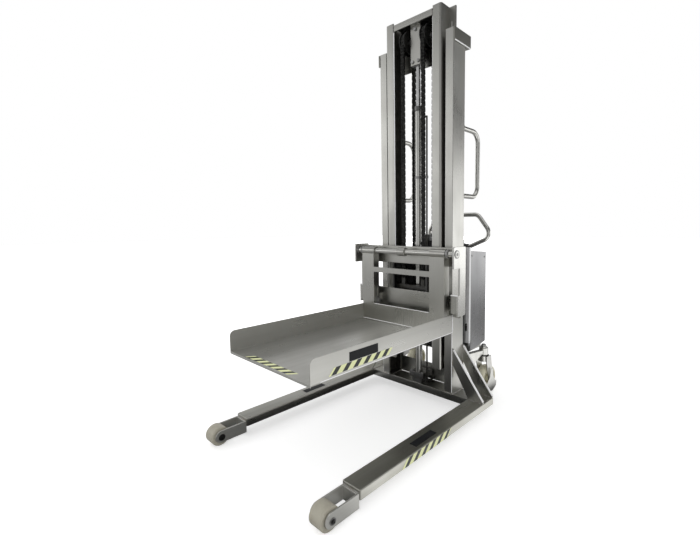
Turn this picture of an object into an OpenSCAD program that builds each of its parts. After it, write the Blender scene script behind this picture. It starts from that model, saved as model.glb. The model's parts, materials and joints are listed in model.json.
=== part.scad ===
// Semi-electric stacker with a tilting tray: straddle base, telescopic mast, chain lift and tray carriage.
// Shown partly raised. X is across, the legs and the tray point to -Y, Z is up from the floor.
// Inside the modules Y is measured from the front face of the outer mast.

/* [Base] */
// Overall width over the straddle legs
base_w = 880; // [820:10:1000]
// Width of a leg tube
leg_w = 95; // [80:1:110]
// Height of a leg tube
leg_h = 40; // [36:1:46]
// Wall of the leg and cross tubes
leg_wall = 4; // [3:0.5:6]
// Clear height under the legs
ground_gap = 45; // [40:1:55]
// Reach of the legs in front of the mast
leg_reach = 855; // [700:5:1000]
// Reach of the legs behind the mast face
leg_back = 117; // [114:1:140]
// Depth of the cross member, front to back
cross_d = 100; // [90:1:110]
// Distance of the cross member behind the mast face
cross_y = 8; // [4:1:12]
// Height of the gussets up the mast
gusset_h = 255; // [200:5:320]
// Width of a gusset strap
gusset_band = 62; // [40:1:80]
// Thickness of the gusset plates
gusset_t = 8; // [6:1:10]

/* [Front rollers] */
// Diameter of the load rollers
roller_d = 84; // [76:1:88]
// Width of the load rollers
roller_w = 66; // [55:1:70]
// Diameter of the roller axle
roller_pin_d = 20; // [16:1:24]
// Distance from the leg end to the roller axle
roller_reach = 119; // [105:1:130]
// Thickness of the roller bracket plates
bracket_t = 8; // [6:0.5:9]
// Height of the roller bracket plates
bracket_h = 56; // [50:1:62]

/* [Outer mast] */
// Width over the outer mast rails
mast_w = 504; // [496:2:560]
// Height of the outer mast above the floor
mast_h = 1980; // [1900:10:2100]
// Depth of an outer rail
outer_d = 111; // [105:1:118]
// Width of the outer rail flanges
outer_flange = 49; // [44:1:52]
// Thickness of the outer rail steel
outer_t = 8; // [6:0.5:9]
// Thickness of the foot plates under the outer rails
foot_t = 5; // [4:0.5:6]
// Height of the top tie
top_tie_h = 63; // [50:1:80]
// Depth of the top tie behind the rails
top_tie_d = 38; // [30:1:50]
// Thickness of the cheeks at the ends of the top tie
cheek_t = 10; // [6:1:12]
// Thickness of the flat cross ties
tie_t = 8; // [6:1:10]
// Height of the base tie above the base
base_tie_h = 205; // [195:1:240]
// Height of the base tie above the base between the rails
base_tie_low = 95; // [80:1:110]

/* [Inner mast] */
// Amount the inner mast is raised in the shown position
raised = 125; // [100:5:140]
// Side clearance between an inner rail and the outer rail flanges
rail_gap = 14; // [10:1:18]
// Depth of an inner rail
inner_d = 82; // [78:1:84]
// Distance of the inner rails in front of the outer mast face
inner_lead = 17; // [12:1:20]
// Thickness of the inner rail steel
inner_t = 9; // [7:0.5:10]
// Width of the inner rail front flange
inner_flange = 56; // [50:1:60]
// Radius of the outer front corner of an inner rail
inner_bend = 12; // [6:1:14]
// Width of the rear flange that reaches into the outer rail
inner_ear = 38; // [30:1:40]
// Height of the top crossbar
crossbar_h = 33; // [28:1:50]
// Thickness of the top crossbar
crossbar_t = 10; // [6:1:12]
// Drop of the crossbar below the rail tops
crossbar_drop = 11; // [5:1:20]
// Width of the space for the mast rollers between the rails
mast_roller_w = 40; // [30:1:42]
// Height of the lower tie of the inner mast
inner_tie_h = 100; // [60:5:120]
// Height of the lower tie above the foot of the inner mast
inner_tie_lift = 190; // [160:5:210]
// Height of the guard plate behind the pulleys
guard_h = 225; // [180:5:230]

/* [Lift cylinder] */
// Outside diameter of the cylinder tube
tube_d = 40; // [38:1:48]
// Wall of the cylinder tube
tube_wall = 4; // [3:0.5:5]
// Diameter of the piston rod
rod_d = 25; // [20:1:28]
// Height of the top of the cylinder above the floor
tube_top = 1650; // [1600:5:1680]
// Distance of the cylinder centre behind the mast face
tube_y = 37; // [35:1:40]
// Height at which the piston rod meets its head
rod_top = 1862; // [1850:1:1880]
// Length of the piston rod
rod_len = 1620; // [1500:10:1630]
// Diameter of the hydraulic pipe
pipe_d = 10; // [8:1:12]

/* [Chains] */
// Distance of the chains from the centre line
chain_x = 70; // [64:1:74]
// Width of a chain over its plates
chain_w = 24; // [18:1:26]
// Height of a chain plate
chain_plate = 15; // [12:0.5:16]
// Chain pitch
chain_pitch = 15.875; // [12:0.125:20]
// Pitch radius of the chain pulleys
pulley_r = 48; // [46:1:50]
// Height of the pulley axle above the floor
pulley_z = 2000; // [1990:1:2005]
// Flange diameter of the chain pulleys
pulley_flange_d = 120; // [112:1:124]
// Diameter of the pulley axle
pulley_pin_d = 25; // [20:1:28]
// Height of the fixed chain anchors
anchor_z = 590; // [570:5:640]
// Height of the carriage chain anchors
carriage_anchor_z = 700; // [690:1:710]

/* [Carriage] */
// Width over the carriage side plates
carriage_w = 700; // [680:2:740]
// Thickness of the carriage plates
plate_t = 10; // [8:1:12]
// Distance of the plate fronts in front of the mast face
plate_lead = 60; // [58:1:64]
// Bottom of the lower carriage plate
low_plate_z = 553; // [540:1:560]
// Height of the lower carriage plate
low_plate_h = 89; // [70:1:95]
// Bottom of the upper carriage plate
up_plate_z = 789; // [780:1:795]
// Height of the upper carriage plate
up_plate_h = 96; // [80:1:100]
// Diameter of the tray shaft
shaft_d = 30; // [25:1:34]
// Height of the tray shaft
shaft_z = 857; // [850:1:862]
// Distance of the tray shaft in front of the mast face
shaft_lead = 109; // [106:1:112]
// Distance between the two carriage rollers of a side
roller_span = 230; // [180:5:250]
// Width of a carriage roller
carriage_roller_w = 36; // [30:1:38]

/* [Tray] */
// Width over the tray flanges
tray_w = 584; // [540:2:600]
// Reach of the tray in front of the mast
tray_reach = 943; // [800:5:1000]
// Height of the tray floor
tray_z = 450; // [440:1:470]
// Height of the tray flanges above the floor
tray_lip = 92; // [60:1:100]
// Sheet thickness of the tray
tray_t = 3; // [2:0.5:4]
// Corner radius at the front of the flanges
tray_corner = 24; // [10:1:40]
// Width of the tray posts
post_w = 91; // [70:1:100]
// Depth of the tray posts
post_d = 44; // [36:1:60]
// Distance of the tray frame's front in front of the mast face
frame_lead = 131; // [126:1:134]
// Wall of the tray posts
post_t = 5; // [4:0.5:6]
// Height of the tray rear wall
rear_wall_h = 102; // [80:1:110]
// Height of the mid rail
mid_rail_h = 29; // [20:1:40]
// Bottom of the mid rail
mid_rail_z = 736; // [700:1:745]
// Outside diameter of the shaft sleeves
sleeve_d = 46; // [42:1:52]

/* [Castors] */
// Distance between the castor swivel axes
castor_track = 536; // [520:2:600]
// Distance of the swivel axes behind the mast face
castor_y = 318; // [310:1:330]
// Diameter of the castor wheels
castor_d = 160; // [140:2:166]
// Width of the castor tyres
castor_w = 50; // [40:1:54]
// Trail of the castor wheels
castor_trail = 28; // [20:1:40]
// Top of the castor fork head
castor_head_z = 229; // [222:1:232]
// Top of the swivel housing
housing_top = 275; // [268:1:285]
// Diameter of the swivel housing
housing_d = 54; // [46:1:60]
// Diameter of the swivel stem
stem_d = 24; // [18:1:28]
// Diameter of the castor axle
castor_pin_d = 15; // [12:1:18]

/* [Power unit] */
// Width of the cover
cover_w = 400; // [390:2:440]
// Distance of the cover front behind the mast face
cover_y = 266; // [262:1:280]
// Depth of the cover
cover_d = 201; // [190:1:240]
// Top of the cover at its front
cover_top = 850; // [800:5:900]
// Bottom of the cover at its front
cover_foot = 245; // [240:1:255]
// Fall of the cover top towards the back
cover_fall = 16; // [0:1:20]
// Rise of the cover bottom towards the back
cover_rise = 28; // [10:1:30]
// Sheet thickness of the cover
cover_t = 2; // [1.5:0.5:3]
// Height of the equipment deck
deck_z = 275; // [275:1:280]
// Width of the oil tank
tank_w = 240; // [210:5:250]
// Height of the oil tank
tank_h = 340; // [250:5:400]
// Distance of the tank to the left of the centre line
tank_shift = 50; // [45:1:55]
// Height of the pump block
pump_h = 70; // [50:1:80]
// Diameter of the pump motor
motor_d = 112; // [90:1:116]
// Length of the pump motor
motor_len = 245; // [180:5:260]
// Width of the valve column
valve_w = 50; // [40:1:54]
// Height of the valve column
valve_h = 230; // [150:5:240]
// Width of one battery block
battery_w = 166; // [140:1:168]
// Height of the battery blocks
battery_h = 230; // [180:5:300]

/* [Handles and controls] */
// Tube diameter of the grab handles
grab_d = 26; // [22:1:30]
// Reach of the grab handles behind the mast
grab_reach = 139; // [100:1:150]
// Height of the lower end of the grab handles
grab_z = 1165; // [1100:5:1250]
// Length of the grab handles, tube centre to centre
grab_len = 333; // [250:1:360]
// Tube diameter of the loop handle
loop_d = 25; // [20:1:28]
// Half width of the loop handle
loop_half = 213; // [190:1:225]
// Radius of the upper bends of the loop handle
loop_bend = 95; // [70:1:110]
// Radius of the elbows of the loop handle
loop_elbow = 40; // [30:1:50]
// Slope of the lower legs of the loop handle, in degrees
loop_slope = 30; // [20:1:35]
// Height of the top bar of the loop handle
loop_top = 1060; // [1040:1:1100]
// Width of the control console
console_w = 150; // [130:1:180]
// Height of the control console above the cover
console_h = 30; // [26:1:50]
// Length of the control lever from its hub to its knob
lever_len = 86; // [60:1:110]

/* [Clearances] */
// Running clearance of a pin in its bore, on the radius
fit = 0.05; // [0.02:0.01:0.1]
// Clearance of a roller in its rail, on the diameter
track_gap = 0.8; // [0.4:0.1:1.5]

/* [Hidden] */
$fn = 64;

steel = [0.72, 0.72, 0.70];
steel_dark = [0.40, 0.40, 0.39];
black = [0.08, 0.08, 0.08];
cream = [0.80, 0.78, 0.68];
nylon = [0.66, 0.64, 0.58];
chrome = [0.85, 0.86, 0.88];
cover_grey = [0.50, 0.52, 0.54];
red = [0.75, 0.08, 0.06];

base_top = ground_gap + leg_h;
leg_x = base_w / 2 - leg_w;
rail_x = mast_w / 2;
inner_x = rail_x - outer_flange - rail_gap;
inner_back = inner_d - inner_lead;
inner_bottom = base_top + raised + 3;
inner_top = mast_h + raised + 6;
roller_y = -leg_reach - roller_reach;
roller_x = base_w / 2 - leg_w / 2;
bracket_x = roller_w / 2 + 2;
bracket_z = ground_gap - 28;
shaft_y = -shaft_lead;
tray_rear = -frame_lead;
post_x = tray_w / 2 - tray_t - post_w;
cover_rear = cover_y + cover_d;
handle_y = cover_rear - 24;
console_x = console_w / 2;
console_top = cover_top + console_h;
hub_d = 16;
hub_w = 14;
key_d = 20;
key_x = 45;
button_d = 24;
chain_front_y = tube_y - pulley_r;
chain_rear_y = tube_y + pulley_r;
anchor_h = 30;
arm_x = inner_x - inner_flange - 9;
arm_t = 12;
carriage_roller_d = inner_d - 2 * inner_t - track_gap;
carriage_roller_y = inner_d / 2 - inner_lead;
carriage_roller_x = inner_x - inner_t - 2 - carriage_roller_w;
carriage_roller_z = (low_plate_z + up_plate_z + up_plate_h) / 2;
mast_roller_d = outer_d - 2 * outer_t - track_gap;
mast_roller_x = inner_x + 5;
mast_roller_z = inner_bottom + 52;
roller_stub_d = 25;
castor_x = castor_track / 2;
castor_z = castor_d / 2;
fork_x = castor_w / 2 + 6;
fork_t = 5;
arm_root = [218, outer_d + tie_t];
tank_front = outer_d + tie_t + 13;
pipe_x = tube_d / 2 + 38;
pipe_back = outer_d + tie_t + pipe_d / 2;
pipe_low = base_top + 13;
deck_t = 6;
deck_half = cover_w / 2 - 16;
deck_top = deck_z + deck_t;
seam = 0.3;
pump_z = deck_top + tank_h;
tank_left = -tank_shift - tank_w / 2;

// The origin lies in the middle of the footprint, so the mast stands behind it.
front_end = leg_reach + roller_reach + roller_d / 2;
back_end = cover_rear;
mast_y = (front_end - back_end) / 2;

// Moves a sub-part from mast coordinates into the part's frame.
module at_mast() {
    translate([0, mast_y, 0]) children();
}

module both_sides() {
    children();
    mirror([1, 0, 0]) children();
}

module box(from, to) {
    translate(from) cube(to - from);
}

module bar_x(d, x0, x1, y, z) {
    translate([x0, y, z]) rotate([0, 90, 0]) cylinder(d = d, h = x1 - x0);
}

module bar_y(d, y0, y1, x, z) {
    translate([x, y0, z]) rotate([-90, 0, 0]) cylinder(d = d, h = y1 - y0);
}

module bar_z(d, z0, z1, x, y) {
    translate([x, y, z0]) cylinder(d = d, h = z1 - z0);
}

module hex_x(size, x0, x1, y, z) {
    translate([x0, y, z]) rotate([0, 90, 0]) cylinder(d = size, h = x1 - x0, $fn = 6);
}

module hex_y(size, y0, y1, x, z) {
    translate([x, y0, z]) rotate([-90, 0, 0]) cylinder(d = size, h = y1 - y0, $fn = 6);
}

// Plan outline with four round corners, from one corner to the other.
module round_rect(from, to, r) {
    size = to - from;
    translate(from + [r, 0]) square([size.x - 2 * r, size.y]);
    translate(from + [0, r]) square([size.x, size.y - 2 * r]);
    for (x = [from.x + r, to.x - r], y = [from.y + r, to.y - r]) translate([x, y]) circle(r);
}

// Turns an outline drawn in Y and Z into a plate between two X places.
module plate_x(x0, x1) {
    translate([x0, 0, 0]) rotate([90, 0, 90]) linear_extrude(x1 - x0) children();
}

// Turns an outline drawn in X and Z into a plate between two Y places.
module plate_y(y0, y1) {
    translate([0, y1, 0]) rotate([90, 0, 0]) linear_extrude(y1 - y0) children();
}

// Leg tube on the right side, closed at both ends.
module leg() {
    color(steel) at_mast() difference() {
        box([leg_x, -leg_reach, ground_gap], [base_w / 2, leg_back, base_top]);
        box([leg_x + leg_wall, leg_wall - leg_reach, ground_gap + leg_wall],
            [base_w / 2 - leg_wall, leg_back - leg_wall, base_top - leg_wall]);
    }
}

module leg_right() {
    leg();
}

module leg_left() {
    mirror([1, 0, 0]) leg();
}

module cross_member() {
    color(steel) at_mast() difference() {
        box([-leg_x, cross_y, ground_gap], [leg_x, cross_y + cross_d, base_top]);
        box([-leg_x - 1, cross_y + leg_wall, ground_gap + leg_wall],
            [leg_x + 1, cross_y + cross_d - leg_wall, base_top - leg_wall]);
    }
}

// Side plate of the front roller bracket, with a round nose at the axle.
module bracket_cheek() {
    difference() {
        union() {
            translate([roller_y, bracket_z]) square([roller_reach - bracket_t, bracket_h]);
            translate([roller_y, bracket_z + bracket_h / 2]) circle(d = bracket_h);
        }
        translate([roller_y, roller_d / 2]) circle(d = roller_pin_d);
    }
}

module roller_brackets() {
    color(steel) at_mast() both_sides() translate([roller_x, 0, 0]) {
        for (x = [-bracket_x - bracket_t, bracket_x]) plate_x(x, x + bracket_t) bracket_cheek();
        box([-bracket_x - bracket_t, -leg_reach - bracket_t, bracket_z],
            [bracket_x + bracket_t, -leg_reach, bracket_z + bracket_h]);
    }
}

module roller_axles() {
    color(steel_dark) at_mast() both_sides() translate([roller_x, 0, 0]) {
        bar_x(roller_pin_d, -bracket_x - bracket_t, bracket_x + bracket_t, roller_y, roller_d / 2);
        bar_x(roller_pin_d + 5, bracket_x + bracket_t, bracket_x + bracket_t + 2.5, roller_y, roller_d / 2);
    }
}

module front_roller() {
    color(nylon) at_mast() translate([roller_x, roller_y, roller_d / 2]) rotate([0, 90, 0]) difference() {
        rotate_extrude() difference() {
            translate([0, -roller_w / 2]) square([roller_d / 2, roller_w]);
            for (s = [-1, 1]) translate([roller_d / 2, s * roller_w / 2]) rotate(45)
                square(6, center = true);
            for (s = [-1, 1]) translate([20, s * roller_w / 2]) square([14, 6], center = true);
        }
        cylinder(d = roller_pin_d + 2 * fit, h = roller_w + 2, center = true);
    }
}

module front_roller_right() {
    front_roller();
}

module front_roller_left() {
    mirror([1, 0, 0]) front_roller();
}

// Sloping strap from the mast side to the leg, open below.
module gusset_outline() {
    slope = (base_w / 2 - rail_x) / gusset_h;
    polygon([[rail_x, base_top + gusset_h], [rail_x + 6, base_top + gusset_h], [base_w / 2, base_top + 8],
        [base_w / 2, base_top], [base_w / 2 - gusset_band * 1.4, base_top],
        [rail_x, base_top + gusset_h - gusset_band / slope]]);
}

module gussets() {
    color(steel) at_mast() both_sides() for (y = [4, leg_back - 5 - gusset_t])
        plate_y(y, y + gusset_t) gusset_outline();
}

// C profile that opens towards the centre line, on a foot plate.
module outer_rail() {
    color(steel) at_mast() {
        translate([0, 0, base_top]) linear_extrude(mast_h - base_top) difference() {
            round_rect([rail_x - outer_flange, 0], [rail_x, outer_d], 3);
            translate([rail_x - outer_flange - 1, outer_t])
                square([outer_flange + 1 - outer_t, outer_d - 2 * outer_t]);
        }
        box([rail_x - outer_flange - 8, -10, base_top], [rail_x, outer_d, base_top + foot_t]);
    }
}

// The right rail also has a stop pin on its front flange.
module outer_rail_right() {
    outer_rail();
    color(steel) at_mast() bar_z(outer_t - 1, mast_h - 6, mast_h + 26, rail_x - 12, outer_t / 2);
}

module outer_rail_left() {
    mirror([1, 0, 0]) outer_rail();
}

// Box beam behind the rails, with a cheek on each side that wraps round the rail.
module top_tie() {
    top = mast_h - 2;
    wall = 4;
    color(steel) at_mast() {
        difference() {
            box([-rail_x, outer_d, top - top_tie_h], [rail_x, outer_d + top_tie_d, top]);
            box([-rail_x - 1, outer_d + wall, top - top_tie_h + wall],
                [rail_x + 1, outer_d + top_tie_d - wall, top - wall]);
        }
        both_sides() box([rail_x, -3, top - top_tie_h], [rail_x + cheek_t, outer_d + top_tie_d, top]);
    }
}

// Base tie behind the rails, and the higher tie that holds the fixed chain ends.
// The base tie is lower between the rails and keeps a lug on each side for the rear frame.
module mast_ties() {
    low = base_top + base_tie_low;
    color(steel) at_mast() {
        difference() {
            box([-rail_x, outer_d, base_top], [rail_x, outer_d + tie_t, base_top + base_tie_h]);
            box([6 - inner_x, outer_d - 1, low], [inner_x - 6, outer_d + tie_t + 1, deck_z - 43]);
            box([48 - deck_half, outer_d - 1, low],
                [deck_half - 48, outer_d + tie_t + 1, base_top + base_tie_h + 1]);
            bar_y(pipe_d + 2, outer_d - 1, outer_d + tie_t + 1, pipe_x, pipe_low);
        }
        box([-rail_x, outer_d, anchor_z - 40], [rail_x, outer_d + tie_t, anchor_z + 10]);
        for (s = [-1, 1])
            box([s * chain_x - chain_w / 2, chain_rear_y - chain_plate / 2, anchor_z - anchor_h],
                [s * chain_x + chain_w / 2, outer_d, anchor_z]);
    }
}

module cylinder_tube() {
    foot_z = base_top + 12;
    color(steel) at_mast() difference() {
        union() {
            bar_z(tube_d, foot_z, tube_top - 25, 0, tube_y);
            bar_z(tube_d + 8, 892, 907, 0, tube_y);
        }
        bar_z(tube_d - 2 * tube_wall, foot_z + 12, tube_top, 0, tube_y);
    }
}

module cylinder_gland() {
    color(steel_dark) at_mast() difference() {
        bar_z(tube_d + 8, tube_top - 25, tube_top, 0, tube_y);
        bar_z(rod_d + 2 * fit, tube_top - 26, tube_top + 1, 0, tube_y);
    }
}

// Foot block on the cross member, with a wider slab on it that takes the tube end.
module cylinder_foot() {
    slab_z = base_top + 32;
    color(steel_dark) at_mast() difference() {
        union() {
            box([-34, cross_y + 6, base_top], [34, cross_y + cross_d - 28, slab_z]);
            box([-49, cross_y + 1, slab_z], [49, cross_y + cross_d - 8, slab_z + 30]);
        }
        bar_z(tube_d, base_top + 12, slab_z + 31, 0, tube_y);
    }
}

// Oil pipe from the pump, through the base tie and up the cylinder to its top port.
module hydraulic_pipe() {
    top = tube_top - 60;
    color(steel_dark) at_mast() {
        bar_z(pipe_d, pipe_low, top, pipe_x, tube_y);
        bar_y(pipe_d, tube_y, pipe_back, pipe_x, pipe_low);
        bar_z(pipe_d, pipe_low, pump_z + 35, pipe_x, pipe_back);
        bar_y(pipe_d, pipe_back, tank_front + 3, pipe_x, pump_z + 35);
        for (p = [[pipe_x, tube_y, pipe_low], [pipe_x, pipe_back, pipe_low],
                [pipe_x, pipe_back, pump_z + 35], [pipe_x, tube_y, top]])
            translate(p) sphere(d = pipe_d);
        difference() {
            bar_x(pipe_d, 0, pipe_x, tube_y, top);
            bar_z(tube_d, top - 20, top + 20, 0, tube_y);
        }
    }
}

// Two channels and a deck that carry the power unit.
module rear_frame() {
    start = outer_d + tie_t;
    color(steel) at_mast() {
        both_sides() difference() {
            box([deck_half - 44, start, deck_z - 40], [deck_half - 4, cover_rear - 27, deck_z]);
            box([deck_half - 45, start - 1, deck_z - 36], [deck_half - 8, cover_rear - 26, deck_z - 4]);
        }
        difference() {
            box([-deck_half, start, deck_z], [deck_half, cover_rear - cover_t - seam, deck_top]);
            bar_z(pipe_d + 2, deck_z - 1, deck_top + 1, pipe_x, pipe_back);
        }
    }
}

// Arm from the base tie to the swivel housing, with a round cut over the wheel.
module castor_arms() {
    reach = norm([castor_x, castor_y] - arm_root);
    under = castor_head_z + 7;
    color(steel) at_mast() both_sides() difference() {
        union() {
            translate([arm_root.x, arm_root.y, 0])
                rotate([0, 0, atan2(castor_y - arm_root.y, castor_x - arm_root.x)])
                rotate([90, 0, 0]) linear_extrude(30, center = true) difference() {
                    translate([-12, under - 76]) square([reach + 12, 102]);
                    translate([reach, under - 94]) circle(r = 100, $fn = 128);
                }
            bar_z(housing_d, under, housing_top, castor_x, castor_y);
        }
        bar_z(stem_d + 2 * fit, under - 40, housing_top + 1, castor_x, castor_y);
        box([0, outer_d - 40, 0], [base_w / 2, outer_d + tie_t, mast_h / 2]);
    }
}

module castor_fork() {
    head = 34;
    head_h = 32;
    color(steel) at_mast() translate([castor_x, castor_y, 0]) {
        difference() {
            union() {
                translate([0, 0, castor_head_z - 40]) cylinder(r = head, h = 40);
                for (x = [-fork_x - fork_t, fork_x]) plate_x(x, x + fork_t) hull() {
                    translate([castor_trail, castor_z]) circle(r = 26, $fn = 32);
                    translate([-head + 8, castor_head_z - 30]) square([2 * head - 16, 30]);
                }
            }
            box([-fork_x, -2 * head, 0], [fork_x, 2 * head + castor_trail, castor_head_z - head_h]);
            bar_x(castor_pin_d, -60, 60, castor_trail, castor_z);
        }
        bar_x(castor_pin_d, -fork_x - fork_t - 3, fork_x + fork_t + 3, castor_trail, castor_z);
        for (s = [-1, 1]) hex_x(26, s * (fork_x + fork_t + 3) - 3, s * (fork_x + fork_t + 3) + 3,
            castor_trail, castor_z);
        bar_z(stem_d, castor_head_z, housing_top + 1, 0, 0);
        bar_z(stem_d + 12, housing_top + 1, housing_top + 8, 0, 0);
        bar_z(stem_d + 16, castor_head_z, castor_head_z + 6.5, 0, 0);
    }
}

module castor_fork_right() {
    castor_fork();
}

module castor_fork_left() {
    mirror([1, 0, 0]) castor_fork();
}

module castor_wheel() {
    color(cream) at_mast() translate([castor_x, castor_y + castor_trail, castor_z]) rotate([0, 90, 0])
        rotate_extrude($fn = 96) difference() {
            union() {
                translate([castor_z - 16, 0]) intersection() {
                    translate([0, -castor_w / 2]) square([16, castor_w]);
                    translate([-44, 0]) circle(r = 60);
                }
                translate([20, -10]) square([castor_z - 34, 20]);
                translate([castor_pin_d / 2 + fit, -castor_w / 2 - 3]) square([15, castor_w + 6]);
            }
            translate([castor_z + 20, 0]) square([40, castor_w * 2], center = true);
        }
}

module castor_wheel_right() {
    castor_wheel();
}

module castor_wheel_left() {
    mirror([1, 0, 0]) castor_wheel();
}

module oil_tank() {
    color(steel_dark) at_mast() translate([0, 0, deck_top]) linear_extrude(tank_h)
        round_rect([tank_left, tank_front], [tank_left + tank_w, cover_y - 8], 12);
}

// Pump block on the tank, with the motor and the valve column on it.
module pump_unit() {
    top = pump_z + pump_h;
    right = tank_left + tank_w - 8;
    valve_x = right - 10 - valve_w / 2;
    valve_y = tank_front + 60;
    motor_x = tank_left + 20 + motor_d / 2;
    motor_y = tank_front + 65;
    color(black) at_mast() {
        box([tank_left + 20, tank_front + 3, pump_z], [right, cover_y - 20, top]);
        bar_z(motor_d, top, top + motor_len, motor_x, motor_y);
        bar_z(motor_d + 8, top + 8, top + 22, motor_x, motor_y);
        bar_z(motor_d - 20, top + motor_len, top + motor_len + 8, motor_x, motor_y);
        box([valve_x - valve_w / 2, valve_y - 30, top], [valve_x + valve_w / 2, valve_y + 30, top + valve_h]);
        bar_z(valve_w * 0.6, top + valve_h, top + valve_h + 40, valve_x, valve_y);
    }
}

// Two battery blocks side by side, with their terminals.
module battery() {
    top = deck_top + battery_h;
    half = battery_w / 2;
    color(black) at_mast() for (x = [-half - 3, half + 3]) {
        box([x - half, cover_y + 14, deck_top], [x + half, cover_rear - 14, top]);
        for (dx = [-half * 2 / 3, half * 2 / 3]) bar_z(18, top, top + 16, x + dx, cover_y + 34);
    }
}

// Side view of the cover, shrunk by the given wall.
module cover_outline(wall, below) {
    polygon([[cover_y + wall, cover_foot - below], [cover_y + wall, cover_top - wall],
        [cover_rear - wall, cover_top - cover_fall - wall],
        [cover_rear - wall, cover_foot + cover_rise - below]]);
}

module cover_body(wall, below) {
    intersection() {
        plate_x(-cover_w / 2 + wall, cover_w / 2 - wall) cover_outline(wall, below);
        translate([0, 0, cover_foot - 60]) linear_extrude(cover_top - cover_foot + 100)
            round_rect([-cover_w / 2 + wall, cover_y + wall],
                [cover_w / 2 - wall, cover_rear - wall], 14 - wall);
    }
}

// Open-bottomed cover, with a slot in its front for the deck and vents in its back.
module cover() {
    color(cover_grey) at_mast() difference() {
        cover_body(0, 0);
        cover_body(cover_t, 50);
        box([-deck_half - seam, cover_y - 1, cover_foot - 1],
            [deck_half + seam, cover_y + cover_t + 1, deck_top + seam]);
        for (k = [0 : 5]) box([-90, cover_rear - 10, 380 + 24 * k], [90, cover_rear + 5, 388 + 24 * k]);
    }
}

// One D handle: two legs, two bends and the grip, with a round foot at each leg.
module grab_handle() {
    bend = 35;
    x = rail_x - outer_flange / 2 + 4;
    y = outer_d + grab_reach;
    for (z = [grab_z, grab_z + grab_len]) {
        bar_y(grab_d, outer_d + 5, y - bend, x, z);
        bar_y(grab_d + 14, outer_d, outer_d + 5, x, z);
    }
    bar_z(grab_d, grab_z + bend, grab_z + grab_len - bend, x, y);
    translate([x, y - bend, grab_z + bend]) rotate([90, 0, 90]) rotate([0, 0, -90])
        rotate_extrude(angle = 90) translate([bend, 0]) circle(d = grab_d);
    translate([x, y - bend, grab_z + grab_len - bend]) rotate([90, 0, 90])
        rotate_extrude(angle = 90) translate([bend, 0]) circle(d = grab_d);
}

module grab_handles() {
    color(steel) at_mast() both_sides() grab_handle();
}

// Stations along the right half of the loop, from the top bar down to the console.
// Each is a place in X and Z with the direction that points away from the loop's middle.
function loop_stations() =
    let(side = loop_half - loop_d / 2, turn = 90 - loop_slope)
    let(bend = [side - loop_bend, loop_top - loop_bend], elbow = [side - loop_elbow, bend.y - 12])
    let(low = elbow + loop_elbow * [cos(turn), -sin(turn)])
    let(run = (low.x - console_x + 20) / sin(turn))
    concat(
        [for (a = [90 : -15 : 0]) [bend + loop_bend * [cos(a), sin(a)], a]],
        [for (k = [0 : 4]) let(a = -turn * k / 4) [elbow + loop_elbow * [cos(a), sin(a)], a]],
        [[low - run * [sin(turn), cos(turn)], -turn]]);

function mirrored_stations(list) = [for (k = [len(list) - 1 : -1 : 0])
    [[-list[k][0].x, list[k][0].y], 180 - list[k][1]]];

// Round tube along stations that lie in the X and Z plane.
module flat_tube(stations, d, sides) {
    rings = len(stations);
    points = [for (s = stations, k = [0 : sides - 1]) let(t = 360 * k / sides, r = d / 2 * cos(t))
        [s[0].x + r * cos(s[1]), d / 2 * sin(t), s[0].y + r * sin(s[1])]];
    walls = [for (i = [0 : rings - 2], k = [0 : sides - 1]) let(n = (k + 1) % sides)
        [i * sides + k, i * sides + n, (i + 1) * sides + n, (i + 1) * sides + k]];
    first = [for (k = [sides - 1 : -1 : 0]) k];
    last = [for (k = [0 : sides - 1]) (rings - 1) * sides + k];
    polyhedron(points, concat([first], walls, [last]));
}

module loop_handle() {
    right = loop_stations();
    color(steel) at_mast() translate([0, handle_y, 0]) difference() {
        flat_tube(concat(mirrored_stations(right), right), loop_d, 16);
        box([-console_x, -60, cover_foot], [console_x, 60, console_top + 1]);
    }
}

// Console on the cover, its foot cut to the slope of the cover top.
module console() {
    drop = cover_fall / cover_d;
    front = cover_rear - 75;
    back = cover_rear - 3;
    color(black) at_mast() difference() {
        plate_x(-console_x, console_x) polygon([[front, cover_top - (front - cover_y) * drop],
            [front, console_top - 12], [front + 12, console_top], [back, console_top],
            [back, cover_top - (back - cover_y) * drop]]);
        bar_x(hub_d + 2 * fit, -hub_w / 2 - fit, hub_w / 2 + fit, handle_y, console_top - hub_d / 2);
        box([-hub_w / 2 - fit, handle_y - hub_d / 2 - fit, console_top - hub_d / 2],
            [hub_w / 2 + fit, handle_y + hub_d / 2 + fit, console_top + 1]);
        bar_z(key_d + 2 * fit, console_top - 14, console_top + 1, key_x, handle_y);
        bar_z(button_d + 2 * fit, console_top - 14, console_top + 1, -key_x, handle_y);
    }
}

// Lever with a knob on top and a cross hub that rocks in the console.
module lift_lever() {
    color(black) at_mast() translate([0, handle_y, console_top - hub_d / 2]) {
        bar_x(hub_d, -hub_w / 2, hub_w / 2, 0, 0);
        bar_z(8, 0, lever_len, 0, 0);
        translate([0, 0, lever_len]) sphere(d = 26);
    }
}

module key_switch() {
    color(steel_dark) at_mast() translate([key_x, handle_y, 0]) {
        bar_z(key_d, console_top - 12, console_top + 3, 0, 0);
        box([-1.5, -9, console_top + 3], [1.5, 9, console_top + 26]);
    }
}

module stop_button() {
    color(red) at_mast() translate([-key_x, handle_y, 0]) {
        bar_z(button_d, console_top - 5, console_top + 8, 0, 0);
        translate([0, 0, console_top + 8]) rotate_extrude() intersection() {
            square([19, 12]);
            translate([0, -14]) circle(r = 26);
        }
    }
}

// Edge of a chain that runs along Z: full at each pin and waisted between pins.
function chain_edge(turns, side) = [for (k = [0 : 4 * turns]) let(n = side > 0 ? k : 4 * turns - k)
    [side * (chain_plate / 2 - 1.1 * (1 - cos(90 * n))), n * chain_pitch / 4]];

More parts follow.
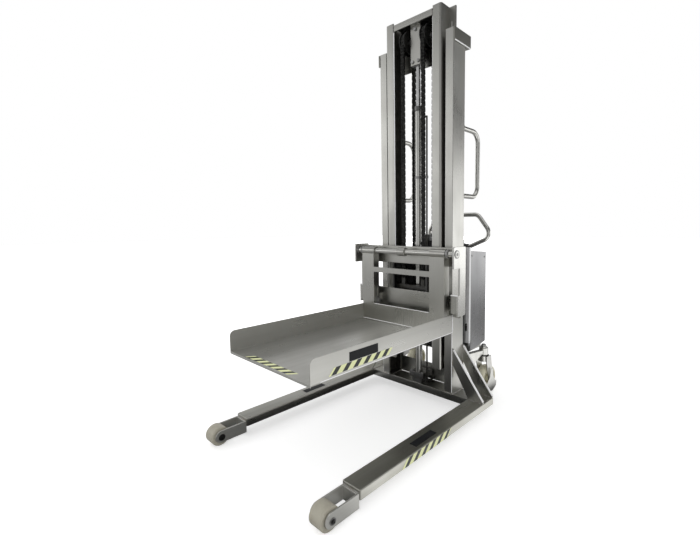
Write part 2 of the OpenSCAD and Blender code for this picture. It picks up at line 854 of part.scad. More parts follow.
// Stretch of leaf chain from one height to another, its pitch fitted to whole links.
module chain_run(x, y, z0, z1) {
    turns = round((z1 - z0) / chain_pitch);
    stretch = (z1 - z0) / (turns * chain_pitch);
    edge = [for (p = concat(chain_edge(turns, 1), chain_edge(turns, -1))) [y + p.x, z0 + p.y * stretch]];
    plate_x(x - chain_w / 2, x + chain_w / 2) polygon(edge);
}

module rear_chains() {
    color(black) at_mast() for (s = [-1, 1]) chain_run(s * chain_x, chain_rear_y, anchor_z, pulley_z);
}

module front_chains() {
    color(black) at_mast() for (s = [-1, 1])
        chain_run(s * chain_x, chain_front_y, carriage_anchor_z, pulley_z);
}

// Half turn of each chain over its pulley, with the same waists as the runs.
module chain_wraps() {
    links = round(PI * pulley_r / chain_pitch);
    outer = [for (k = [0 : 4 * links])
        let(a = 45 * k / links, r = pulley_r + chain_plate / 2 - 1.1 * (1 - cos(90 * k)))
        r * [cos(a), sin(a)]];
    color(black) at_mast() for (s = [-1, 1])
        plate_x(s * chain_x - chain_w / 2, s * chain_x + chain_w / 2)
            translate([tube_y, pulley_z]) difference() {
                polygon(outer);
                circle(r = pulley_r - chain_plate / 2, $fn = 96);
            }
}

module pulley() {
    groove = chain_w / 2 + 1;
    core = pulley_r - chain_plate / 2 - seam;
    bore = pulley_pin_d / 2 + fit;
    color(black) at_mast() translate([chain_x, tube_y, pulley_z]) rotate([0, 90, 0])
        rotate_extrude($fn = 96) difference() {
            translate([bore, -groove - 5]) square([pulley_flange_d / 2 - bore, 2 * groove + 10]);
            translate([core, -groove]) square([pulley_flange_d, 2 * groove]);
            for (s = [-1, 1]) translate([26, s * (groove + 5) - 2.5]) square([24, 5]);
        }
}

module pulley_right() {
    pulley();
}

module pulley_left() {
    mirror([1, 0, 0]) pulley();
}

module pulley_axle() {
    inner = chain_x - chain_w / 2 - 6.3;
    outer = chain_x + chain_w / 2 + 6.3;
    color(steel_dark) at_mast() {
        bar_x(pulley_pin_d, -outer, outer, tube_y, pulley_z);
        both_sides() {
            bar_x(pulley_pin_d + 9, 30, inner, tube_y, pulley_z);
            bar_x(pulley_pin_d + 9, outer, outer + 5, tube_y, pulley_z);
        }
    }
}

// Rail profile: round-nosed front flange, web with a bent front corner, and a rear flange
// that reaches both ways.
module inner_outline() {
    nose = inner_t / 2;
    difference() {
        union() {
            translate([inner_x - inner_flange, -inner_lead])
                round_rect([0, 0], [inner_flange, inner_t], nose - 0.01);
            translate([inner_x - inner_t, -inner_lead + nose]) square([inner_t, inner_d - nose]);
        }
        translate([inner_x - inner_bend, inner_bend - inner_lead]) difference() {
            translate([0, -inner_bend - 1]) square(inner_bend + 1);
            circle(inner_bend);
        }
    }
    translate([inner_x - inner_flange + 8, inner_back - inner_t])
        square([inner_flange - 8 + inner_ear, inner_t]);
}

// Inner rail with the roller stub welded to its foot, where the rear flange is cut away.
module inner_rail() {
    color(steel) at_mast() {
        difference() {
            translate([0, 0, inner_bottom]) linear_extrude(inner_top - inner_bottom) inner_outline();
            box([inner_x, inner_back - inner_t - 1, inner_bottom - 1],
                [inner_x + inner_ear + 1, inner_back + 1, mast_roller_z + mast_roller_d / 2 + 6]);
        }
        bar_x(roller_stub_d, inner_x, mast_roller_x + mast_roller_w - 1, outer_d / 2, mast_roller_z);
        bar_x(roller_stub_d + 10, inner_x, mast_roller_x - 1, outer_d / 2, mast_roller_z);
    }
}

module inner_rail_right() {
    inner_rail();
}

module inner_rail_left() {
    mirror([1, 0, 0]) inner_rail();
}

module inner_crossbar() {
    half = inner_x - inner_flange;
    top = inner_top - crossbar_drop;
    color(steel) at_mast() {
        box([-half, -inner_lead, top - crossbar_h], [half, -inner_lead + crossbar_t, top]);
        box([-33, -inner_lead + crossbar_t, top - crossbar_h], [33, tube_y - 25, top - 4]);
    }
}

// Lower tie behind the inner rails, and the guard behind the pulleys on its two webs.
module inner_tie() {
    half = inner_x - 6;
    low = inner_bottom + inner_tie_lift;
    guard_top = inner_top - 11;
    guard_y = outer_d - 7;
    color(steel) at_mast() {
        box([-half, inner_back, low], [half, inner_back + tie_t, low + inner_tie_h]);
        box([-half, guard_y, guard_top - guard_h], [half, guard_y + 4, guard_top]);
        both_sides() box([half - 34, inner_back, guard_top - guard_h], [half - 26, guard_y, guard_top]);
    }
}

module centre_plate() {
    color(steel) at_mast() difference() {
        box([-33, tube_y - 25, rod_top + 4], [33, tube_y - 17, inner_top - crossbar_drop - 10]);
        for (s = [-1, 1]) bar_y(10, tube_y - 26, tube_y - 16, s * 20, rod_top + 22);
    }
}

module plate_bolts() {
    color(steel_dark) at_mast() for (s = [-1, 1]) {
        hex_y(19, tube_y - 32, tube_y - 25, s * 20, rod_top + 22);
        bar_y(10, tube_y - 25, tube_y - 17, s * 20, rod_top + 22);
    }
}

module rod_head() {
    color(steel_dark) at_mast() difference() {
        box([-30, tube_y - 17, rod_top], [30, tube_y + 19, pulley_z + 30]);
        bar_x(pulley_pin_d, -31, 31, tube_y, pulley_z);
    }
}

module piston_rod() {
    color(chrome) at_mast() {
        bar_z(rod_d, rod_top - rod_len, rod_top, 0, tube_y);
        bar_z(tube_d - 2 * tube_wall - 2 * fit, rod_top - rod_len, rod_top - rod_len + 40, 0, tube_y);
    }
}

module track_roller(d, w) {
    rotate([0, 90, 0]) difference() {
        rotate_extrude() difference() {
            square([d / 2, w]);
            translate([18, -1]) square([6, 3]);
            translate([18, w - 2]) square([6, 3]);
        }
        translate([0, 0, -1]) cylinder(d = roller_stub_d + 2 * fit, h = w + 2);
    }
}

module mast_roller() {
    color(steel_dark) at_mast() translate([mast_roller_x, outer_d / 2, mast_roller_z])
        track_roller(mast_roller_d, mast_roller_w - 2);
}

module mast_roller_right() {
    mast_roller();
}

module mast_roller_left() {
    mirror([1, 0, 0]) mast_roller();
}

module carriage_roller(level) {
    color(steel_dark) at_mast()
        translate([carriage_roller_x, carriage_roller_y, carriage_roller_z + level * roller_span / 2])
        track_roller(carriage_roller_d, carriage_roller_w);
}

module carriage_roller_a() {
    carriage_roller(1);
}

module carriage_roller_b() {
    carriage_roller(-1);
}

module carriage_roller_c() {
    mirror([1, 0, 0]) carriage_roller(1);
}

module carriage_roller_d() {
    mirror([1, 0, 0]) carriage_roller(-1);
}

// Upper plate with the eye that steadies the shaft in the middle.
module carriage_upper_plate() {
    half = carriage_w / 2 - plate_t;
    color(steel) at_mast() {
        box([-half, -plate_lead, up_plate_z], [half, -plate_lead + plate_t, up_plate_z + up_plate_h]);
        difference() {
            union() {
                box([-26, shaft_y, shaft_z - 14], [26, -plate_lead, shaft_z + 14]);
                bar_x(sleeve_d, -26, 26, shaft_y, shaft_z);
            }
            bar_x(shaft_d, -27, 27, shaft_y, shaft_z);
        }
    }
}

// Lower plate with a lip below it and a stop block behind each tray post.
module carriage_lower_plate() {
    half = carriage_w / 2 - plate_t;
    color(steel) at_mast() {
        box([-half, -plate_lead, low_plate_z], [half, -plate_lead + plate_t, low_plate_z + low_plate_h]);
        box([-half, -plate_lead + plate_t / 2, low_plate_z - 24], [half, -plate_lead + plate_t, low_plate_z]);
        both_sides() box([post_x + 2, tray_rear + post_d + 2, low_plate_z + 12],
            [post_x + post_w - 2, -plate_lead, low_plate_z + 52]);
    }
}

// C-shaped side plates that hold the shaft ends.
module carriage_sides() {
    front = shaft_y - 26;
    back = -plate_lead + 33;
    top = up_plate_z + up_plate_h + 8;
    color(steel) at_mast() both_sides() difference() {
        plate_x(carriage_w / 2 - plate_t, carriage_w / 2) difference() {
            round_rect([front, low_plate_z - 8], [back, top], 10);
            translate([front - 1, low_plate_z + low_plate_h + 9])
                square([back - front - 53, up_plate_z - low_plate_z - low_plate_h - 12]);
            translate([front - 1, low_plate_z - 9]) square([39, low_plate_h + 60]);
        }
        bar_x(shaft_d, 0, base_w, shaft_y, shaft_z);
    }
}

// Two arms that reach between the inner rails, with the roller stubs and the chain beam.
module carriage_arms() {
    back = inner_back - inner_t - 4;
    color(steel) at_mast() {
        both_sides() {
            box([arm_x - arm_t, -plate_lead + plate_t, low_plate_z], [arm_x, back, up_plate_z + up_plate_h]);
            for (s = [-1, 1]) {
                z = carriage_roller_z + s * roller_span / 2;
                bar_x(roller_stub_d, arm_x, carriage_roller_x + carriage_roller_w - 1, carriage_roller_y, z);
                bar_x(roller_stub_d + 10, arm_x, carriage_roller_x - 1, carriage_roller_y, z);
            }
        }
        difference() {
            box([arm_t - arm_x, chain_front_y - 12, carriage_anchor_z - 60],
                [arm_x - arm_t, chain_front_y + 12, carriage_anchor_z - 36]);
            for (s = [-1, 1])
                bar_z(14, carriage_anchor_z - 61, carriage_anchor_z - 35, s * chain_x, chain_front_y);
        }
    }
}

// Threaded chain ends: a clevis block, its stud and two nuts under the beam.
module chain_anchors() {
    color(steel_dark) at_mast() for (s = [-1, 1]) translate([s * chain_x, chain_front_y, carriage_anchor_z]) {
        box([-chain_w / 2, -chain_plate / 2, -36], [chain_w / 2, chain_plate / 2, 0]);
        bar_z(14, -95, -36, 0, 0);
        translate([0, 0, -70]) cylinder(d = 24, h = 10, $fn = 6);
        translate([0, 0, -82]) cylinder(d = 24, h = 10, $fn = 6);
    }
}

module tray_shaft() {
    color(chrome) at_mast() bar_x(shaft_d, -carriage_w / 2 - 3, carriage_w / 2 + 3, shaft_y, shaft_z);
}

// Folded tray: floor, two side flanges, front lip and three ribs underneath.
module tray_pan() {
    half = tray_w / 2;
    color(steel) at_mast() {
        box([-half, -tray_reach, tray_z - tray_t], [half, tray_rear, tray_z]);
        box([-half, -tray_reach, tray_z - 10], [half, -tray_reach + tray_t, tray_z - tray_t]);
        both_sides() plate_x(half - tray_t, half) {
            translate([-tray_reach + tray_corner, tray_z - tray_t])
                square([tray_reach - tray_corner - plate_lead - 2, tray_lip + tray_t]);
            translate([-tray_reach, tray_z - tray_t]) square([tray_corner, tray_lip + tray_t - tray_corner]);
            translate([-tray_reach + tray_corner, tray_z + tray_lip - tray_corner]) circle(tray_corner);
        }
        for (x = [-half / 2, 0, half / 2])
            box([x - 20, -tray_reach + 60, tray_z - tray_t - 14], [x + 20, tray_rear, tray_z - tray_t]);
    }
}

// Back frame of the tray: sole, two folded posts, rear wall, mid rail and the sleeves on the shaft.
module tray_frame() {
    outer = post_x + post_w;
    top = shaft_z - 16;
    color(steel) at_mast() difference() {
        union() {
            box([-outer, tray_rear, tray_z - tray_t], [outer, tray_rear + post_d, tray_z]);
            both_sides() {
                difference() {
                    box([post_x, tray_rear, tray_z], [outer, tray_rear + post_d, top]);
                    box([post_x + post_t, tray_rear + post_t, tray_z - 1],
                        [outer - post_t, tray_rear + post_d + 1, top - post_t]);
                }
                bar_x(sleeve_d, post_x - 2, outer + 2, shaft_y, shaft_z);
            }
            bar_z(10, shaft_z, shaft_z + sleeve_d / 2 + 8, -post_x - 22, shaft_y);
            box([-post_x, tray_rear, tray_z], [post_x, tray_rear + post_t, tray_z + rear_wall_h]);
            box([-post_x, tray_rear, mid_rail_z], [post_x, tray_rear + post_t, mid_rail_z + mid_rail_h]);
        }
        bar_x(shaft_d + 2 * fit, -tray_w, tray_w, shaft_y, shaft_z);
    }
}

leg_left();
leg_right();
cross_member();
roller_brackets();
roller_axles();
gussets();
outer_rail_left();
outer_rail_right();
top_tie();
mast_ties();
cylinder_tube();
cylinder_gland();
cylinder_foot();
hydraulic_pipe();
rear_frame();
castor_arms();
oil_tank();
pump_unit();
battery();
cover();
grab_handles();
loop_handle();
console();
rear_chains();
inner_rail_left();
inner_rail_right();
inner_crossbar();
inner_tie();
centre_plate();
plate_bolts();
rod_head();
piston_rod();
pulley_axle();
chain_wraps();
front_chains();
pulley_left();
pulley_right();
mast_roller_left();
mast_roller_right();
carriage_upper_plate();
carriage_lower_plate();
carriage_sides();
carriage_arms();
chain_anchors();
tray_shaft();
carriage_roller_a();
carriage_roller_b();
carriage_roller_c();
carriage_roller_d();
tray_pan();
tray_frame();
front_roller_left();
front_roller_right();
castor_fork_left();
castor_fork_right();
castor_wheel_left();
castor_wheel_right();
lift_lever();
key_switch();
stop_button();
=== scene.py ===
import json
from math import atan2, cos, pi, radians, sin, tan

import bmesh
import bpy
from mathutils import Matrix, Vector


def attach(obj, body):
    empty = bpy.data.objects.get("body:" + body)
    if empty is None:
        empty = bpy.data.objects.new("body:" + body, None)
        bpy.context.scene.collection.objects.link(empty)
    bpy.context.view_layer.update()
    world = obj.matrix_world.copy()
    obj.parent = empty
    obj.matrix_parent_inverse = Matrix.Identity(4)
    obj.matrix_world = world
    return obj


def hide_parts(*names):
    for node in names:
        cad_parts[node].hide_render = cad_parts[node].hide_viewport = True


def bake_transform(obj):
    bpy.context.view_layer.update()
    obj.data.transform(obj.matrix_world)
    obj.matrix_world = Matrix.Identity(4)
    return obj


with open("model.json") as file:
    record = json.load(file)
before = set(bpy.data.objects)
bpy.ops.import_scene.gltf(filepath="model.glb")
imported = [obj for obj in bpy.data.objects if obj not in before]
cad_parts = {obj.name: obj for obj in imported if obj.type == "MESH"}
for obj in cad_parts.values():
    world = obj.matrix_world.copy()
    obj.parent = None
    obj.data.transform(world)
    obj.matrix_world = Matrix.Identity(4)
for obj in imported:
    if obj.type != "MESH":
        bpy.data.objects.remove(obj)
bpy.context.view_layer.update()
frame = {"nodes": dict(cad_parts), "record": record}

# Places are written as on the CAD drawing: millimetres, with Y from the front face of the outer mast.
MAST_FACE = 0.2745
X, Y, Z = Vector((1, 0, 0)), Vector((0, 1, 0)), Vector((0, 0, 1))


def mm(value):
    return value / 1000


def at(x, y, z):
    return Vector((mm(x), mm(y) + MAST_FACE, mm(z)))


def placed(name, data):
    made = bpy.data.objects.new(name, data)
    bpy.context.scene.collection.objects.link(made)
    return made


def mesh_of(name, bm):
    """The working mesh as mesh data. The working mesh is freed."""
    mesh = bpy.data.meshes.new(name)
    bm.to_mesh(mesh)
    bm.free()
    return mesh


def shift(bm, verts, matrix):
    bmesh.ops.transform(bm, verts=verts, matrix=matrix)


def axes(x, y, z):
    """Matrix that takes the three axes to these vectors."""
    return Matrix((x, y, z)).transposed().to_4x4()


# Shader maths


class Sock:
    """An output of a shader node. Plain operators on it add Math nodes."""

    def __init__(self, graph, socket):
        self.graph, self.socket = graph, socket

    def maths(self, operation, *values, clamp=False):
        settings = {"operation": operation, "use_clamp": clamp}
        return self.graph.node("ShaderNodeMath", settings, dict(enumerate(values)))

    def __add__(self, other):
        return self.maths("ADD", self, other)

    def __sub__(self, other):
        return self.maths("SUBTRACT", self, other)

    def __mul__(self, other):
        return self.maths("MULTIPLY", self, other)

    def __truediv__(self, other):
        return self.maths("DIVIDE", self, other)

    def __rsub__(self, other):
        return self.maths("SUBTRACT", other, self)

    def __mod__(self, other):
        return self.maths("FLOORED_MODULO", self, other)

    __radd__, __rmul__ = __add__, __mul__

    def alone(self, operation):
        return self.maths(operation, self)

    def limit(self):
        return self.maths("ADD", self, 0.0, clamp=True)


class Tree:
    """A node tree, with one method that adds a node and links what feeds it."""

    def __init__(self, tree):
        self.tree = tree

    def node(self, kind, settings=None, inputs=None, out=0):
        made = self.tree.nodes.new(kind)
        for key, value in (settings or {}).items():
            if key == "stops":
                ramp = made.color_ramp.elements
                while len(ramp) < len(value):
                    ramp.new(0.5)
                for stop, (position, colour) in zip(ramp, value):
                    stop.position, stop.color = position, colour
            else:
                setattr(made, key, value)
        for key, value in (inputs or {}).items():
            if isinstance(value, Sock):
                self.tree.links.new(value.socket, made.inputs[key])
            else:
                made.inputs[key].default_value = value
        return Sock(self, made.outputs[out]) if made.outputs else made

    def between(self, value, low, high, to_low=0.0, to_high=1.0, way="LINEAR"):
        inputs = {"Value": value, "From Min": low, "From Max": high, "To Min": to_low, "To Max": to_high}
        return self.node("ShaderNodeMapRange", {"clamp": True, "interpolation_type": way}, inputs)

    def apart(self, vector):
        """The three parts of a vector as values."""
        split = self.tree.nodes.new("ShaderNodeSeparateXYZ")
        self.tree.links.new(vector.socket, split.inputs[0])
        return [Sock(self, split.outputs[i]) for i in range(3)]

    def rays(self, *names):
        """One where the ray is of one of these kinds, otherwise zero."""
        kinds = [self.node("ShaderNodeLightPath", out=name) for name in names]
        return sum(kinds[1:], kinds[0]).limit()

    def mixed(self, factor, low, high):
        return self.node("ShaderNodeMixShader", None, {0: factor, 1: low, 2: high})


class Graph(Tree):
    """The node graph of one finish, ending in a Principled shader."""

    def __init__(self, name, **constants):
        self.material = bpy.data.materials.new(name)
        self.material.use_nodes = True
        super().__init__(self.material.node_tree)
        self.shader = self.tree.nodes["Principled BSDF"]
        for key, value in constants.items():
            self.shader.inputs[key.replace("_", " ")].default_value = value
        self.material.diffuse_color = constants.get("Base_Color", (0.5, 0.5, 0.5, 1))
        self.place = self.node("ShaderNodeTexCoord", out="Object")

    def feed(self, socket_name, value):
        self.tree.links.new(value.socket, self.shader.inputs[socket_name])

    def stretched(self, scale):
        settings = {"vector_type": "POINT"}
        return self.node("ShaderNodeMapping", settings, {"Vector": self.place, "Scale": scale})

    def noise(self, scale, detail=4.0, rough=0.55, where=None):
        inputs = {"Vector": where or self.place, "Scale": scale, "Detail": detail, "Roughness": rough}
        return self.node("ShaderNodeTexNoise", None, inputs)

    def blend(self, factor, low, high):
        """Colour from low to high."""
        settings = {"data_type": "RGBA", "blend_type": "MIX"}
        return self.node("ShaderNodeMix", settings, {0: factor, 6: low, 7: high}, out=2)

    def bump(self, height, depth, strength=1.0):
        self.feed("Normal", self.node("ShaderNodeBump", None,
                                      {"Strength": strength, "Distance": depth, "Height": height}))


def grey(level, warm=0.0):
    return (level + warm * 0.1, level, level - warm, 1)


GRAIN = {"x": (5, 420, 420), "y": (420, 5, 420), "z": (420, 420, 5)}
STREAK = {"x": (1.6, 38, 38), "y": (38, 1.6, 38), "z": (38, 38, 1.6)}
# Colour of the painted shade in the rail tracks.
TRACK_SHADE = (0.05, 0.047, 0.042, 1)
TAPE_YELLOW, TAPE_FADED = (0.86, 0.89, 0.50, 1), (0.74, 0.74, 0.50, 1)
TAPE_DARK, TAPE_WORN = (0.022, 0.026, 0.026, 1), (0.10, 0.10, 0.09, 1)


def satin_steel(name, along, level=0.54, rough=0.26, stain=0.10, warm=0.03, metal=1.0, darkened=None):
    """Satin stainless steel: fine grain along one axis, streaks and dull patches, and painted shade where a
    darkening is given.
    """
    g = Graph(name, Metallic=metal, Base_Color=grey(level, warm))
    grain = g.noise(1.0, 2.0, 0.5, g.stretched(GRAIN[along]))
    streak = g.noise(1.0, 4.0, 0.55, g.stretched(STREAK[along]))
    cloud = g.noise(4.0, 4.0, 0.55)
    dull = g.between(cloud, 0.40, 0.68)
    mark = g.between(streak, 0.42, 0.72)
    shade = (dull * stain + mark * (stain + 0.02) + (grain - 0.5) * 0.08).limit()
    colour = g.blend(shade, grey(level, warm), grey(level * 0.62, warm * 1.5))
    roughness = rough + dull * 0.08 + mark * 0.05 + (grain - 0.5) * 0.08
    if darkened:
        track_shade = darkened(g)
        colour = g.blend(track_shade, colour, TRACK_SHADE)
        roughness = roughness + track_shade * 0.12
    g.feed("Base Color", colour)
    g.feed("Roughness", roughness)
    g.bump(grain, 0.00008, 0.25)
    return g.material


def painted_shade_in_track(reach, front, back, inside, outside):
    """Painted shade on what lies between the flanges, in noisy patches: inside this reach of the middle, and
    more lightly outside it.
    """
    def track_shade(g):
        x, y = g.apart(g.place)[:2]
        between = (g.between(y, MAST_FACE + mm(front), MAST_FACE + mm(front + 3))
                   * g.between(y, MAST_FACE + mm(back - 3), MAST_FACE + mm(back), 1.0, 0.0))
        patch = g.between(g.noise(30.0, 4.0, 0.6), 0.3, 0.7, 0.8, 1.0)
        return g.between(x.alone("ABSOLUTE"), mm(reach), mm(reach + 2), inside, outside) * between * patch
    return track_shade


def machined_steel(name, level=0.34):
    g = Graph(name, Metallic=1.0, Base_Color=grey(level))
    fine = g.noise(260.0, 2.0, 0.5)
    cloud = g.noise(22.0, 4.0, 0.6)
    g.feed("Base Color", g.blend(g.between(cloud, 0.35, 0.7), grey(level), grey(level * 0.55, 0.01)))
    g.feed("Roughness", 0.3 + cloud * 0.2 + (fine - 0.5) * 0.1)
    g.bump(fine, 0.0001, 0.3)
    return g.material


def chromed_bar(name):
    g = Graph(name, Metallic=1.0, Base_Color=grey(0.86))
    film = g.noise(30.0, 4.0, 0.6, g.stretched((6, 6, 1)))
    g.feed("Base Color", g.blend(g.between(film, 0.5, 0.8), grey(0.86), grey(0.6, 0.01)))
    g.feed("Roughness", 0.10 + g.between(film, 0.45, 0.8) * 0.15)
    return g.material


def oiled_chain(name):
    g = Graph(name, Metallic=0.8, Base_Color=grey(0.03), Coat_Roughness=0.3)
    grease = g.noise(90.0, 4.0, 0.6)
    cloud = g.noise(14.0, 3.0, 0.5)
    g.feed("Base Color", g.blend(g.between(grease, 0.42, 0.7), grey(0.018), grey(0.075, 0.006)))
    g.feed("Roughness", 0.38 + grease * 0.25)
    g.feed("Coat Weight", g.between(cloud, 0.4, 0.7) * 0.25)
    g.bump(grease, 0.0004, 0.4)
    return g.material


def paint(name, level, rough=0.42):
    """Sprayed enamel with a light orange peel and dust on it."""
    g = Graph(name, Base_Color=grey(level), Metallic=0.0, Coat_Weight=0.15, Coat_Roughness=0.2)
    peel = g.noise(420.0, 2.0, 0.5)
    dust = g.noise(9.0, 5.0, 0.65)
    dusty = g.between(dust, 0.48, 0.78) * 0.5
    g.feed("Base Color", g.blend(dusty, grey(level), grey(level + 0.09, 0.01)))
    g.feed("Roughness", rough + dust * 0.16)
    g.bump(peel, 0.00025, 0.3)
    return g.material


def plastic(name, colour, rough=0.45, grainy=0.4, gloss=0.5):
    g = Graph(name, Base_Color=colour, Specular_IOR_Level=gloss)
    fine = g.noise(700.0, 2.0, 0.5)
    cloud = g.noise(12.0, 4.0, 0.6)
    lighter = tuple(min(1, c * 1.25 + 0.01) for c in colour[:3]) + (1,)
    g.feed("Base Color", g.blend(g.between(cloud, 0.4, 0.75) * 0.6, colour, lighter))
    g.feed("Roughness", rough + (cloud - 0.5) * 0.2)
    g.bump(fine, 0.0003, grainy)
    return g.material


def worn_roller(name, clean, darkened, rough):
    """Pale roller or tyre, soiled in fine lines round its tread and in soft patches."""
    g = Graph(name, Base_Color=clean, Subsurface_Weight=0.04, Subsurface_Radius=(0.01, 0.008, 0.006))
    lines = g.noise(1.0, 4.0, 0.7, g.stretched((520, 9, 9)))
    cloud = g.noise(26.0, 5.0, 0.65)
    soil = (g.between(lines, 0.5, 0.78) * 0.45 + g.between(cloud, 0.45, 0.75) * 0.5).limit()
    g.feed("Base Color", g.blend(soil, clean, darkened))
    g.feed("Roughness", rough + soil * 0.2)
    g.bump(cloud * 0.6 + lines * 0.4, 0.0004, 0.35)
    return g.material


def hazard_tape(name, pitch, slant, axis, up, first):
    """Tape with dark bars on pale yellow. Bars repeat along one axis and lean with height."""
    g = Graph(name, Base_Color=TAPE_YELLOW)
    where = g.apart(g.place)
    phase = (where[axis] - where[up] * slant - first) / pitch
    saw = phase % 1.0
    edge = g.between(saw, 0.0, 0.02) * g.between(saw, 0.47, 0.49, 1.0, 0.0)
    wear = g.noise(160.0, 4.0, 0.7)
    faded = g.between(wear, 0.55, 0.8) * 0.25
    yellow = g.blend(faded, TAPE_YELLOW, TAPE_FADED)
    dark = g.blend(faded, TAPE_DARK, TAPE_WORN)
    g.feed("Base Color", g.blend(edge, yellow, dark))
    g.feed("Roughness", 0.36 + wear * 0.22)
    g.bump(wear, 0.0001, 0.3)
    return g.material


def weld_metal(name):
    g = Graph(name, Metallic=1.0, Base_Color=grey(0.5))
    tint = g.noise(45.0, 3.0, 0.6)
    g.feed("Base Color", g.blend(g.between(tint, 0.4, 0.7), grey(0.52), (0.34, 0.29, 0.24, 1)))
    g.feed("Roughness", 0.3 + tint * 0.25)
    return g.material


steel_along = {axis: satin_steel("satin_steel_" + axis, axis) for axis in "xyz"}
# Painted shade between the flanges of the mast rails, blotched by noise; on the inner rails it is lighter
# outside the middle reach.
outer_track_shade = painted_shade_in_track(reach=245, front=8, back=109, inside=0.85, outside=0.0)
inner_track_shade = painted_shade_in_track(reach=184, front=-9, back=70, inside=0.8, outside=0.22)
outer_rail_steel = satin_steel("outer_rail_steel", "z", level=0.58, darkened=outer_track_shade)
inner_rail_steel = satin_steel("inner_rail_steel", "z", darkened=inner_track_shade)
# A darker copy of the satin steel, as painted shade on the outer mast's top tie.
painted_shade_tie_steel = satin_steel("painted_shade_tie_sheet", "y", level=0.34, rough=0.28)
tray_steel = satin_steel("tray_sheet", "y", level=0.54, rough=0.27, stain=0.12, metal=0.80)
leg_steel = satin_steel("leg_tube", "y", level=0.50, rough=0.28, stain=0.30, warm=0.04)
cover_steel = satin_steel("cover_sheet", "z", level=0.34, rough=0.24, stain=0.12, warm=-0.004)
# A near-white, almost unmetallic finish, as painted highlight on edges and strips.
painted_highlight_edge = satin_steel("painted_highlight_edge", "x", level=0.98, rough=0.40, stain=0.02, warm=0.0, metal=0.05)
bracket_steel = satin_steel("bracket_plate", "y", level=0.56, rough=0.30, stain=0.12, metal=0.75)
matt_sheet = satin_steel("matt_sheet", "z", level=0.56, rough=0.42, stain=0.08, warm=0.0, metal=0.4)
# A lighter copy of the satin steel, as painted light on the carriage sides, castor arms, forks and guards.
painted_light_sheet = satin_steel("painted_light_sheet", "z", level=0.72, stain=0.08)
shaft_steel = satin_steel("shaft_steel", "x", level=0.66, rough=0.24, stain=0.08)
# A lighter copy of the satin steel, as painted light on the cylinder tube.
painted_light_tube = satin_steel("painted_light_tube", "z", level=0.74, rough=0.22, stain=0.08)
handle_steel = satin_steel("handle_tube", "z", level=0.66, stain=0.08)
turned_steel = machined_steel("turned_steel")
dark_steel = machined_steel("dark_steel", 0.12)
zinc = machined_steel("zinc_plate", 0.52)
chrome = chromed_bar("hard_chrome")
chain_black = oiled_chain("oiled_chain")
tank_black = paint("tank_enamel", level=0.045)
pump_black = paint("pump_enamel", level=0.03, rough=0.36)
battery_case = plastic("battery_case", (0.035, 0.035, 0.038, 1), rough=0.5)
console_black = plastic("console_plastic", (0.022, 0.022, 0.024, 1), rough=0.48)
rubber = plastic("rubber", (0.018, 0.018, 0.018, 1), rough=0.7, grainy=0.6)
plate_black = plastic("plate_black", (0.012, 0.013, 0.014, 1), grainy=0.2, gloss=0.15)
button_red = plastic("button_red", (0.55, 0.02, 0.015, 1), rough=0.3, grainy=0.1)
glass_window = plastic("gauge_window", (0.25, 0.30, 0.26, 1), rough=0.12, grainy=0.0)
nylon = worn_roller("nylon", (0.41, 0.39, 0.32, 1), (0.28, 0.255, 0.20, 1), rough=0.42)
tyre_cream = worn_roller("tyre_cream", (0.80, 0.77, 0.60, 1), (0.60, 0.55, 0.40, 1), rough=0.34)
weld = weld_metal("weld")
brass = Graph("brass", Metallic=1.0, Base_Color=(0.62, 0.45, 0.18, 1), Roughness=0.3).material


# Mesh helpers

SHARP_CORNER = 38       # degrees, where the shading breaks
RIPPLE, SWELL = 1.9, 0.84
SLOTS = {
    "stainless": ("weld", "painted_highlight_edge", "matt_sheet", "painted_light_sheet", "handle_tube", "satin_steel_z"),
    "machined_steel": ("zinc_plate", "dark_steel", "brass"),
    "black_plastic": ("rubber", "plate_black", "console_plastic", "gauge_window"),
    "oiled_steel": ("oiled_chain",),
    "pump_paint": ("pump_enamel",),
}
SLOT_OF = {finish: slot for slot, finishes in SLOTS.items() for finish in finishes}
NODE_SLOTS = {s["node"]: s["material_slot"] for s in frame["record"]["subparts"]}
BODY_OF = {n: b for b, members in frame["record"]["behaviour"]["bodies"].items() for n in members}


def finished(name, bm, finish, body=None, stands_for=(), slot=None, smooth=True):
    """Makes the piece from its mesh, gives it its finish, and lets it ride on its body."""
    mesh = mesh_of(name, bm)
    mesh.materials.append(finish)
    if smooth:
        mesh.shade_smooth()
        mesh.set_sharp_from_angle(angle=radians(SHARP_CORNER))
    piece = placed(name, mesh)
    if smooth:
        piece.modifiers.new("even_normals", "WEIGHTED_NORMAL").keep_sharp = True
    if body:
        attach(piece, body)
    if stands_for:
        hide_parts(*stands_for)
    slot = slot or SLOT_OF.get(finish.name)
    return piece


def edges_over(edges, corner):
    """The edges where two faces meet at more than this angle in degrees."""
    return [e for e in edges if len(e.link_faces) == 2 and e.calc_face_angle(0) > radians(corner)]


def round_edges(bm, edges, width):
    bmesh.ops.bevel(bm, geom=edges, offset=mm(width), offset_type="OFFSET", segments=2, profile=0.5,
                    affect="EDGES", clamp_overlap=True, material=-1)


def soften(node, radius, finish):
    """Stands in for a CAD node with the same shape, its edges rounded."""
    bm = bmesh.new()
    bm.from_mesh(frame["nodes"][node].data)
    bmesh.ops.remove_doubles(bm, verts=bm.verts, dist=1e-5)
    bmesh.ops.dissolve_limit(bm, angle_limit=radians(0.6), verts=bm.verts, edges=bm.edges)
    round_edges(bm, edges_over(bm.edges, 28), radius)
    finished(node + "_shape", bm, finish, BODY_OF[node], (node,), NODE_SLOTS[node])


def turned_to(direction, spin=0.0):
    """Rotation that takes +Z to the direction, after a turn about Z."""
    return direction.to_track_quat("Z", "Y").to_matrix().to_4x4() @ Matrix.Rotation(spin, 4, "Z")


